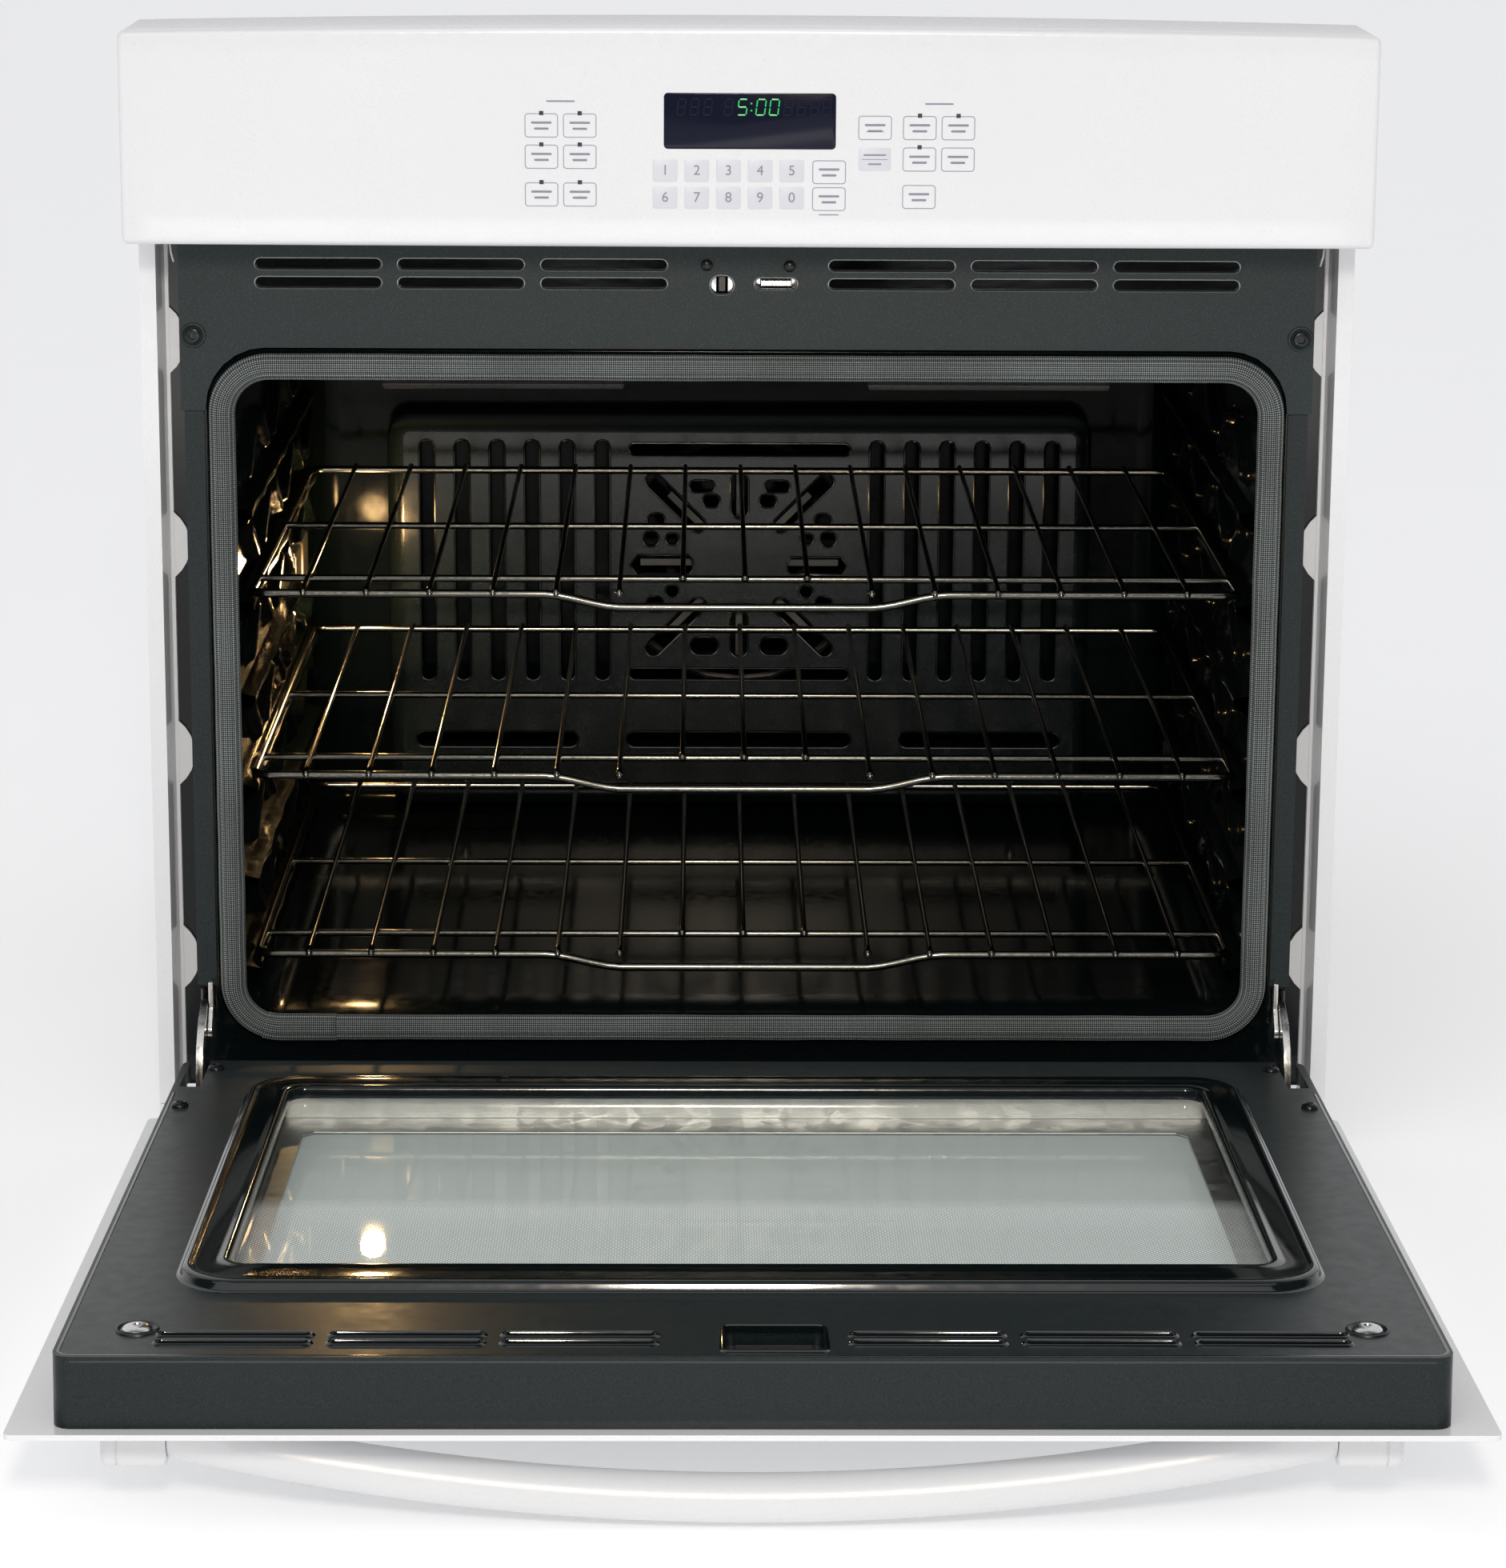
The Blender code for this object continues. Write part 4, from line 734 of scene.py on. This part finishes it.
def vents():
    """Rolled lips in the vent panel's slots, its screws and the plate behind the latch's hole."""
    lips = Shape()
    slots = [slot_loop(x, z, SLOT_LENGTH, 6.8) for x in SLOT_PLACES for z in (579.3, 567.7)]
    for loop in slots + [rounded(-23, -9, 561.2, 572.8, 5.5), slot_loop(17.3, 568, 26, 7)]:
        lips.ring(loop, [(1.1, -2.35), (0.7, -2.75), (0.2, -2.7), (-0.25, -2.1), (-0.45, -0.8), (-0.45, 1.6),
                         (0.1, 1.6)])
    lips.piece("vent_lips", SLOT_LIP, slot="charcoal_paint")
    dimples, heads = Shape(), Shape()
    for side in (-1, 1):
        centre = (side * 343, 534.5)
        dimples.rows([[(u, y, v) for u, v in arc(*centre, radius, 0, 360, 32)[:-1]]
                      for radius, y in ((8.2, -2.25), (7.6, -3.0), (6.6, -3.1), (5.9, -2.6), (5.4, -2.35))])
        cup_screw(heads, centre, 5.0, -2.4, -5.2)
    for x, z in ((-25.5, 579.5), (25.7, 579.0)):
        heads.turned((x, z), [(3.7, -2.3), (3.7, -2.9), (3.2, -3.9), (2.0, -4.5), (0.8, -4.7)])
    dimples.piece("vent_screw_dimples", CHARCOAL, slot="charcoal_paint")
    heads.piece("vent_screw_heads", BLACK_SCREW, slot="black_plastic",
                stands_for=["left_vent_screw", "right_vent_screw"])
    wires = Shape()
    bend = ((358.5, 16, 597), (357.6, 9, 592), (356.4, 6, 585), (355.4, 9, 579))
    for side in (-1, 1):
        wires.tube([(side * x, y, z) for x, y, z in bend], 0.7, 8)
    wires.piece("spring_wires", WHITE, slot="white_enamel")
    plate = Shape().box((-27, 2.6, 556), (-19.4, 3.6, 577)).box((-12.6, 2.6, 556), (-5, 3.6, 577))
    plate.box((-20, 2.6, 574), (-12, 3.6, 577.4)).piece("latch_plate", BRIGHT, slot="bright_steel")


def cup_screw(shape, centre, radius, base, top):
    """A cup-shaped head with a six-sided socket, its top towards -Y."""
    turns = ((1.0, 0.9), (0.93, 0.3), (0.8, 0.0), (0.52, 0.0), (0.48, 0.3), (0.46, 1.6))
    shape.turned(centre, [(radius, base)] + [(radius * share, top + y) for share, y in turns], 24)


# ---------------------------------------------------------------- gasket and cavity


def gasket_path(half, low, high, radius):
    return rounded(-half, half, low, high, radius, 14, 6.0)


def gasket(name, path, half_width, half_depth, closed=True):
    """A braided tube round the mouth; it wavers a little, as a clipped-on seal does."""
    ribs, middle, stitch = 22, -5.9, 2.6
    around = 4 * ribs
    count = len(path)
    shape = Shape()
    lengths = [0.0]
    for i in range(count):
        lengths.append(lengths[-1] + math.dist(path[i], path[(i + 1) % count]))
    rows = []
    for i, (u, v) in enumerate(path):
        before = path[i - 1] if closed or i else path[0]
        after = path[(i + 1) % count] if closed else path[min(i + 1, count - 1)]
        du, dv = after[0] - before[0], after[1] - before[1]
        size = math.hypot(du, dv)
        out_u, out_v = dv / size, -du / size
        waver = 0.12 * noise.noise(Vector((u * 0.02, v * 0.02, 3.0)))
        swell = 1 + 0.03 * noise.noise(Vector((u * 0.03, v * 0.03, 9.0)))
        row = []
        for k in range(around):
            a = 2 * math.pi * k / around
            bulge = swell * (1 + 0.045 * math.cos(ribs * a))
            out, y = half_width * math.cos(a) * bulge + waver, middle - half_depth * math.sin(a) * bulge
            row.append((u + out_u * out, min(y, -0.35), v + out_v * out))
        rows.append(row)
    shape.rows(rows, along=closed, caps=not closed)
    obj = shape.piece(name, BRAID, slot="gasket_braid", angle=180)
    uv = obj.data.uv_layers.new(name="UVMap")
    for face in obj.data.polygons:
        used = [obj.data.loops[i].vertex_index for i in face.loop_indices]
        rings = [v // around for v in used]
        for i, v in zip(face.loop_indices, used):
            ring, turn = divmod(v, around)
            wraps = closed and max(rings) - min(rings) > 1 and ring == 0
            girth = turn + (around if turn == 0 and around - 1 in [w % around for w in used] else 0)
            uv.data[i].uv = ((lengths[count] if wraps else lengths[ring]) / stitch, girth / around)
    return obj


def gaskets():
    whole = gasket_path(325.6, 87.2, 515.6, 29.4)
    ring = gasket("braided_gasket", whole, 7.8, 5.3)
    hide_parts("cavity_gasket")
    sleeve = [p for p in whole if p[0] < -258 and p[1] < 90]
    gasket("gasket_sleeve", sleeve, 8.4, 5.75, closed=False)


def cavity():
    """The porcelain box: a flange round its mouth, straight walls and a back with rounded corners."""
    def loop(half, low, high, radius, y):
        return [(x, y, z) for x, z in rounded(-half, half, low, high, radius, 10)]
    rows = [loop(335.5, 77, 526, 36, 1.9), loop(335.5, 77, 526, 36, 0.9), loop(335.1, 77.4, 525.6, 35.6, 0.3),
            loop(334.2, 78.3, 524.7, 34.7, 0.02), loop(323.4, 85.1, 517.9, 28.9, 0.02),
            loop(321.4, 87.1, 515.9, 26.9, 0.6), loop(320.5, 88, 515, 26, 2.2)]
    rows += [loop(320.5, 88, 515, 26, y) for y in (60, 130, 200, 270, 340, 410, 489.8)]
    for angle in (18, 36, 54, 72, 90):
        inset = 20 * (1 - math.cos(math.radians(angle)))
        rows.append(loop(320.5 - inset, 88 + inset, 515 - inset, 26 - inset * 0.9,
                         489.8 + 20 * math.sin(math.radians(angle))))
    shell = Shape().rows(rows)
    last = len(shell.points) - len(rows[-1])
    shell.faces.append(tuple(range(last, len(shell.points))))
    shell.piece("cavity_shell", CAVITY_GLAZE, slot="black_porcelain", stands_for=["cavity_liner"], angle=50)


def side_wall_height(side, y, z):
    """How far the pressed pattern stands in from the cavity's side wall: leaning lozenges under each guide,
    and flat round the lamp on the left."""
    if side < 0 and abs(y - LAMP_Y) < 56 and abs(z - LAMP_Z) < 30:
        return 0.0
    best = 0.0
    for row, level in enumerate(GUIDE_LEVELS):
        middle = level + 27
        for k in range(6):
            centre = 66 + 74 * k
            lean = math.radians(32 if (k + row) % 2 else -32)
            dy, dz = y - centre, z - middle
            along = dy * math.cos(lean) + dz * math.sin(lean)
            across = -dy * math.sin(lean) + dz * math.cos(lean)
            reach = max(abs(along) - 20, 0.0)
            inside = 1 - math.hypot(reach, across) / 9.0
            if inside > 0:
                best = max(best, 6.5 * min(1.0, inside * 1.9) ** 0.8)
        dz = abs(z - (level - 6.4))
        if dz < 9 and y < 452:
            ridge = 1 - dz / 9.0
            best = max(best, 9.4 * min(1.0, ridge * 2.2) * (1.0 if dz < 3.0 else 0.75)
                       * (1 + 0.06 * math.sin(y / 11.0)) if z < level - 3.4 else best)
    return best


def side_walls():
    """The pressed sides of the cavity, in front of its plain walls."""
    for side, name in ((-1, "left"), (1, "right")):
        rows = [[(side * (320.3 - side_wall_height(side, y, z)), y, z) for y in range(14, 496, 4)]
                for z in range(112, 491, 2)]
        Shape().rows(rows, around=False).piece(
            f"{name}_wall_pressing", PORCELAIN, slot="black_porcelain", angle=70)


def around_fan(loop, turn=0.0):
    """A loop drawn about the fan's centre, turned and moved to where the fan is."""
    c, s = math.cos(math.radians(turn)), math.sin(math.radians(turn))
    return [(u * c - v * s, FAN_HEIGHT + u * s + v * c) for u, v in loop]


def baffle_holes():
    """The louvres at the sides, the long slots and the cluster of holes in front of the fan."""
    holes = []
    for side in (-1, 1):
        for i in range(6):
            x = side * (232 - i * 26.0)
            holes.append(rounded(x - 5, x + 5, 196, 378, 4, 2))
        holes.append(slot_loop(side * 181, 149.6, 120, 11))
        lozenge = [(35, 3), (38, 7), (76, 7), (81, 0), (76, -7), (38, -7), (35, -3)]
        holes.append(around_fan([(side * u, v) for u, v in lozenge]))
        for u, v, wide, high in ((28, 60, 18, 8), (21, 49, 12, 9), (62, 34, 12, 10), (66, 20, 11, 11),
                                 (50, 20, 9, 8), (63, -30, 12, 12), (50, -20, 9, 9), (26, -62, 20, 13)):
            holes.append(around_fan(slot_loop(side * u, v, wide, min(high, wide - 0.2))))
    holes += [slot_loop(0, 372, 163, 8), slot_loop(0, 200.4, 163, 8), slot_loop(0, 149.6, 167, 11)]
    for turn in (45, 135, 225, 315):
        holes.append(around_fan(slot_loop(67, 0, 58, 11), turn))
    for turn in (90, 270):
        holes.append(around_fan(slot_loop(53, 0, 34, 12), turn))
    return holes


def baffle():
    """The pan over the fan, its edges rolled back to the wall, its screws and rolled lips on its louvres."""
    outline = rounded(-249.6, 249.6, 109.4, 384.6, 5, 8)
    pan = Shape().sheet([outline, *baffle_holes()], BAFFLE_FRONT, 1.6, 0.35)
    rolled = ((-0.4, 0.06), (1.5, 0.2), (4.0, 0.8), (6.5, 1.8), (9.0, 3.6), (11.0, 6.2), (12.1, 9.5),
              (12.4, 14.0))
    pan.ring(outline, [(out, BAFFLE_FRONT + back) for out, back in rolled] + [(12.4, BAFFLE_BACK)])
    pan.piece("baffle_pan", PAN_GLAZE, slot="black_porcelain", stands_for=["convection_baffle"], angle=50)
    lips = Shape()
    lip = ((1.5, -0.05), (1.0, -0.7), (0.3, -0.6), (-0.3, 0.2), (-0.45, 2.0))
    for loop in baffle_holes():
        lips.ring(loop, lip, BAFFLE_FRONT)
    lips.piece("baffle_lips", PORCELAIN, slot="black_porcelain")
    screws = Shape()
    head = ((4.6, -0.1), (4.6, -1.2), (4.0, -2.1), (2.2, -2.8), (1.0, -2.4), (0.8, -1.6))
    for x, z in ((-204, 117), (204, 117)):
        screws.turned((x, z), head, base=BAFFLE_FRONT)
    screws.piece("baffle_screws", BRIGHT, slot="bright_steel")


def lumpy(point):
    x, y, z = point
    lumps = [noise.noise(Vector(turned) * 0.05) for turned in ((x, y, z), (y, z, x), (z, x, y))]
    return (x + 2.2 * lumps[0], y + 1.5 * lumps[1], z + 2.2 * lumps[2])


def insulation():
    """The fibre blanket round the cavity, lumpy all over, inside its space."""
    outer = rounded(-343, 343, 63, 543, 12, 4, 14)
    inner = [(x * 328 / 343, 75 + (z - 63) * 443 / 480) for x, z in outer]
    depths = [34 + 474 * i / 33 for i in range(34)]
    rows = [[(x, y, z) for x, z in outer] for y in depths]
    rows += [[(x, y, z) for x, z in inner] for y in reversed(depths)]
    Shape().rows(rows, along=True).moved(lumpy).piece(
        "wool_blanket", WOOL, slot="mineral_wool", stands_for=["insulation_blanket"], angle=180)


# ---------------------------------------------------------------- racks


def rim_drop(x):
    """How far the front wire dips for the hand."""
    share = min(max((130 - abs(x)) / 52, 0.0), 1.0)
    return -8.5 * share * share * (3 - 2 * share)


def rack(name, level):
    """A shelf of round wire: its rim, two cross bars and the wires that lie over them."""
    shape = Shape()
    half, front, back, corner = 314.0, 29.0, 432.0, 10.0
    rim = [(x, front, level + rim_drop(x)) for x in [304 - 608 * i / 76 for i in range(77)]]
    bends = [arc(-half + corner, front + corner, corner, 270, 180, 5)[1:],
             arc(-half + corner, back - corner, corner, 180, 90, 5),
             arc(half - corner, back - corner, corner, 90, 0, 5),
             arc(half - corner, front + corner, corner, 0, -90, 5)[:-1]]
    rim += [(x, y, level) for bend in bends for x, y in bend]
    shape.tube(rim, 2.8, 14, closed=True)
    for y in (73.0, 236.0):
        shape.tube([(-half, y, level), (half, y, level)], 2.4, 12)
    pitch = 40.1
    weld = ((0.6, -1.2), (2.1, -0.5), (2.8, 1.0), (2.5, 2.2), (1.6, 3.4))
    for i in range(-7, 8):
        x = i * pitch
        if abs(i) <= 1:
            wire = [(x, 69.6, level + 0.4), (x, 70.6, level + 2.4), (x, 74, level + 3.4)]
        else:
            wire = [(x, 26.6, level - 0.2), (x, 27.0, level + 1.6), (x, 29.0, level + 3.3),
                    (x, 33, level + 3.6)]
        wire += [(x, 250, level + 3.6), (x, 430, level + 3.6), (x, 433.4, level + 2.4)]
        shape.tube(wire, 1.75, 10)
        shape.turned((x, level + 1.4), weld, 12, wire[0][1])
    shape.piece(f"{name}_wires", RACK, name, slot="rack_steel", stands_for=[name], angle=60)


# ---------------------------------------------------------------- door


def handle():
    """The bowed bar and its two end posts, each with a cap's seam."""
    ends, bow, deep, tall, height = -68.0, 34.5, 12.6, 13.4, 546.0
    rows = []
    for i in range(151):
        x = -300.0 + 4.0 * i
        y = ends - bow * (1 - (x / 296.9) ** 2)
        foot = min(max((abs(x) - 266) / 8, 0.0), 1.0)
        inner = deep + (-54.5 - y - deep) * foot * foot * (3 - 2 * foot)
        rows.append([(x, y + (inner if math.cos(a) > 0 else deep) * math.cos(a), height + tall * math.sin(a))
                     for a in (2 * math.pi * k / 36 for k in range(36))])
    Shape().rows(rows, caps=True).moved(opened).piece(
        "handle_bow", HANDLE_WHITE, "door", slot="white_handle", stands_for=["handle_bar"])
    for side, name in ((-1, "left"), (1, "right")):
        rows = []
        for x, inset in ((300.4, 1.6), (300.7, 0.6), (301.6, 0.0), (325.0, 0.0), (325.3, 0.6), (326.1, 0.6),
                         (326.4, 0.0), (330.6, 0.0), (332.6, 0.5), (333.8, 1.8), (334.4, 3.6), (334.5, 5.6)):
            loop = rounded(-82 + inset, -54.3, 532 + inset, 560 - inset, 6.0)
            rows.append([(side * x, y, z) for y, z in loop])
        Shape().rows(rows, caps=True).moved(opened).piece(
            f"{name}_handle_post", HANDLE_WHITE, "door", slot="white_handle",
            stands_for=[f"{name}_handle_end"])


def liner_bead():
    """The window's raised border, with its two rolls and shallow channel, and the liner's glossy edge."""
    inner = rounded(-280, 280, 125.5, 455.5, 10, 10)
    outer = rounded(-304, 304, 99.5, 485.5, 30, 10)
    rows = [[(x, y, z) for x, z in grown(inner, -0.35)] for y in (-14.8, -9.2)]
    for share, y in ((0.02, -8.0), (0.05, -7.35), (0.1, -7.05), (0.15, -7.2), (0.22, -7.6), (0.3, -7.8),
                     (0.7, -7.8), (0.78, -7.6), (0.85, -7.2), (0.9, -7.05), (0.95, -7.35), (0.985, -8.0)):
        rows.append([(a + (c - a) * share, y, b + (d - b) * share) for (a, b), (c, d) in zip(inner, outer)])
    rows += [[(x, y, z) for x, z in grown(outer, out)]
             for out, y in ((0.5, -9.2), (0.9, -11.6), (1.9, -12.6), (3.2, -12.97))]
    half, foot = 351.7, 120.0
    corners = rounded(-half, half, foot, 582.3, 7.4, 8)[:18]
    edge = [(x, -15.6, z) for x, z in [(half, foot), *corners, (-half, foot)]]
    for shape, name in ((Shape().tube(edge, 2.8, 14), "liner_edge"), (Shape().rows(rows), "liner_bead")):
        shape.moved(opened).piece(name, BEAD_GLAZE, "door", slot="black_porcelain", angle=60)


def on_door(shape):
    """Sets a shape drawn about Y 0 on the door's broad face, and turns it with the door."""
    return shape.moved(lambda p: opened((p[0], p[1] + DOOR_FACE, p[2])))


def door_fittings():
    """Dished screws into the handle, small black screws, the vents' lips and the latch's keeper."""
    dishes, bright, black, lips, keeper = (Shape() for _ in range(5))
    for side in (-1, 1):
        centre = (side * 316, 544.5)
        dishes.turned(centre, [(11.5, 0.05), (11.0, 0.9), (10.2, 1.2), (9.3, 0.6), (8.6, 0.1)])
        bright.turned(centre, [(7.8, 0.05), (7.8, 0.9), (6.6, 2.0), (4.4, 2.7), (2.4, 2.8), (1.9, 1.9),
                               (0.1, 1.7)])
        for x, z in ((344.5, 149.0), (332.0, 68.0)):
            black.turned((side * x, z), [(5.2, 0.05), (5.2, 1.0), (4.2, 2.3), (2.2, 3.0), (1.6, 2.1),
                                         (0.1, 2.0)])
    for x in SLOT_PLACES:
        for z in (552.8, 564.7):
            lips.ring(slot_loop(x, z, SLOT_LENGTH, 5.8),
                      [(2.4, 0.02), (1.7, 0.75), (0.9, 1.15), (0.1, 0.9), (-0.4, 0.1), (-0.5, -2.4)])
    lips.ring(rounded(-15, 36, 540, 577, 3), [(2.6, 0.02), (1.8, 0.8), (0.8, 1.1), (-0.2, 0.7), (-0.5, -3.0)])
    for low, high in ((543.5, 555), (560, 573)):
        keeper.ring(rounded(-11, 32, low, high, 2),
                    [(0.0, -10.2), (0.0, -8.6), (-1.0, -8.2), (-2.0, -8.6), (-2.0, -10.2)])
    for shape, name, look in ((dishes, "door_screw_dishes", LINER_GLAZE),
                              (black, "liner_screws", BLACK_SCREW),
                              (lips, "liner_lips", BEAD_GLAZE), (keeper, "latch_keeper", BLACK)):
        on_door(shape).piece(name, look, "door", slot="black_porcelain")
    on_door(bright).piece("door_screw_heads", BRIGHT, "door", slot="bright_steel",
                          stands_for=["left_door_screw", "right_door_screw"])


# ---------------------------------------------------------------- cabinet


def cabinet_details():
    """Sheet-metal screws, pressed stiffening beads and the cover behind the control panel."""
    screws, beads = Shape(), Shape()
    places = [(x, z) for x in (-340, -220, -100, 20, 140, 260, 340) for z in (14, 657)]
    places += [(x, z) for z in (180, 350, 520) for x in (-344, 344)]
    head = ((4.4, 0.3), (4.4, 1.5), (3.4, 3.5), (3.4, 4.9), (2.8, 5.3))
    for place in places:
        screws.turned(place, head, 6, CABINET_BACK)
    for x, low, high in ((-270, 130, 540), (-90, 130, 540), (90, 130, 540), (270, 130, 480)):
        beads.plate(rounded(x - 13, x + 13, low, high, 12.5, 8), -2.2, 0.0, 2.0)
    beads.moved(lambda p: (p[0], CABINET_BACK - p[1], p[2]))
    for side in (-1, 1):
        ribs = Shape()
        for z in (170, 420):
            ribs.plate(rounded(110, 520, z - 13, z + 13, 12.5, 8), -1.6, 0.0, 1.5)
            for y in (60, 560):
                ribs.turned((y, z), [(4.6, 0.1), (4.6, -1.0), (3.8, -2.2), (2.0, -2.8)], 20)
        ribs.moved(lambda p, side=side: (side * (CABINET_SIDE - p[1]), p[0], p[2]))
        beads.add(ribs.points, ribs.faces)
    outline = rounded(-372, 372, 665.5, 723, 3, 4)
    vents_behind = [slot_loop(x, 705, 60, 5) for x in (-290, -210, 210, 290)]
    cover = Shape().sheet([outline, *vents_behind], 22.5, 1.2)
    cover.ring(outline, [(-0.3, 23.6), (0.0, 23.2), (0.0, 14.0)])
    cover.piece("panel_back_cover", GALVANISED, slot="galvanised_steel")
    for x in (-360, -120, 120, 360):
        screws.turned((x, 716), [(3.6, 23.6), (3.6, 24.4), (2.8, 25.4), (1.4, 25.8)], 16)
    screws.piece("back_screws", BRIGHT, slot="bright_steel")
    beads.piece("cabinet_beads", GALVANISED, slot="galvanised_steel")


# ---------------------------------------------------------------- light and camera


def aimed(name, data, place, ahead, roll=0.0):
    """Sets a lamp or a camera at its place, looking ahead."""
    turn = Vector(ahead).to_track_quat("-Z", "Y") @ Quaternion((0, 0, 1), roll)
    return settled(linked(name, data), location=place, rotation_mode="QUATERNION", rotation_quaternion=turn)


def area_light(name, place, target, size, power, colour):
    light = settled(bpy.data.lights.new(name, "AREA"), shape="RECTANGLE", size=size[0], size_y=size[1],
                    energy=power, color=colour)
    return aimed(name, light, place, Vector(target) - Vector(place))


def studio():
    """A pale floor under an even pale sky, a soft high key, soft front lights and the oven's own lamp."""
    world = bpy.data.worlds.new("studio")
    bpy.context.scene.world = world
    world.use_nodes = True
    tree = world.node_tree
    path = node(tree, "ShaderNodeLightPath")
    sky = tree.nodes["Background"]
    behind = parted(tree, node(tree, "ShaderNodeTexCoord").outputs["Generated"])["Y"]
    mirrored = ramp(tree, behind, [(0.0, (0.055, 0.06, 0.065, 1)), (0.35, (0.8, 0.8, 0.81, 1))])
    tone = mixed(tree, path.outputs["Is Glossy Ray"], (0.46, 0.463, 0.475, 1), mirrored)
    tree.links.new(mixed(tree, path.outputs["Is Camera Ray"], tone, (1, 1, 1, 1)), sky.inputs["Color"])
    mesh = bpy.data.meshes.new("floor")
    corners = [(x, y, -0.5 * MM) for x, y in ((-30, -30), (30, -30), (30, 30), (-30, 30))]
    mesh.from_pydata(corners, [], [(0, 1, 2, 3)])
    floor = linked("floor", mesh)
    paper = coated("floor_paper", (0.93, 0.93, 0.94), 0.8, mottle=0.005, ripple=0.05)
    feed(paper.node_tree, paper.node_tree.nodes["Principled BSDF"],
         {"Emission Color": (1, 1, 1, 1), "Emission Strength": 0.25})
    mesh.materials.append(paper)
    sun = settled(bpy.data.lights.new("key", "SUN"), energy=0.6, angle=math.radians(60))
    aimed("key", sun, (0, 0, 0), (0.25, 0.75, -1.0))
    area_light("front_softbox", (0.0, -2.9, 1.75), (0, 0.3, 0.3), (0.24, 0.32), 27, (1.0, 0.95, 0.87))
    area_light("low_fill", (0.0, -2.4, 0.12), (0, -0.5, 0.05), (1.6, 0.25), 3, (1.0, 0.98, 0.95))
    catch = area_light("catch_light", (0.0, -2.5, 1.35), (0, 0.2, 0.3), (0.22, 0.22), 20, (1.0, 0.82, 0.6))
    catch.visible_diffuse = False
    bulb = settled(bpy.data.lights.new("oven_lamp", "POINT"), energy=0.8, shadow_soft_size=0.009,
                   color=(1.0, 0.62, 0.26))
    aimed("oven_lamp", bulb, (-0.27, 0.385, 0.3), (0, 0, -1))


def camera():
    data = settled(bpy.data.cameras.new("camera"), lens=93.47, sensor_width=36.0, shift_y=-0.18,
                   clip_start=0.05, clip_end=100)
    down, right, roll = math.radians(11.681), math.radians(0.725), math.radians(0.337)
    ahead = (math.sin(right) * math.cos(down), math.cos(right) * math.cos(down), -math.sin(down))
    bpy.context.scene.camera = aimed("camera", data, (-0.0276, -2.4921, 0.9453), ahead, roll)


keep_cad()
control_panel()
keys()
display()
vents()
gaskets()
cavity()
side_walls()
baffle()
insulation()
for rack_name, rack_level in RACKS.items():
    rack(rack_name, rack_level)
handle()
liner_bead()
door_fittings()
cabinet_details()
studio()
camera()
bpy.context.scene.view_settings.view_transform = "Standard"
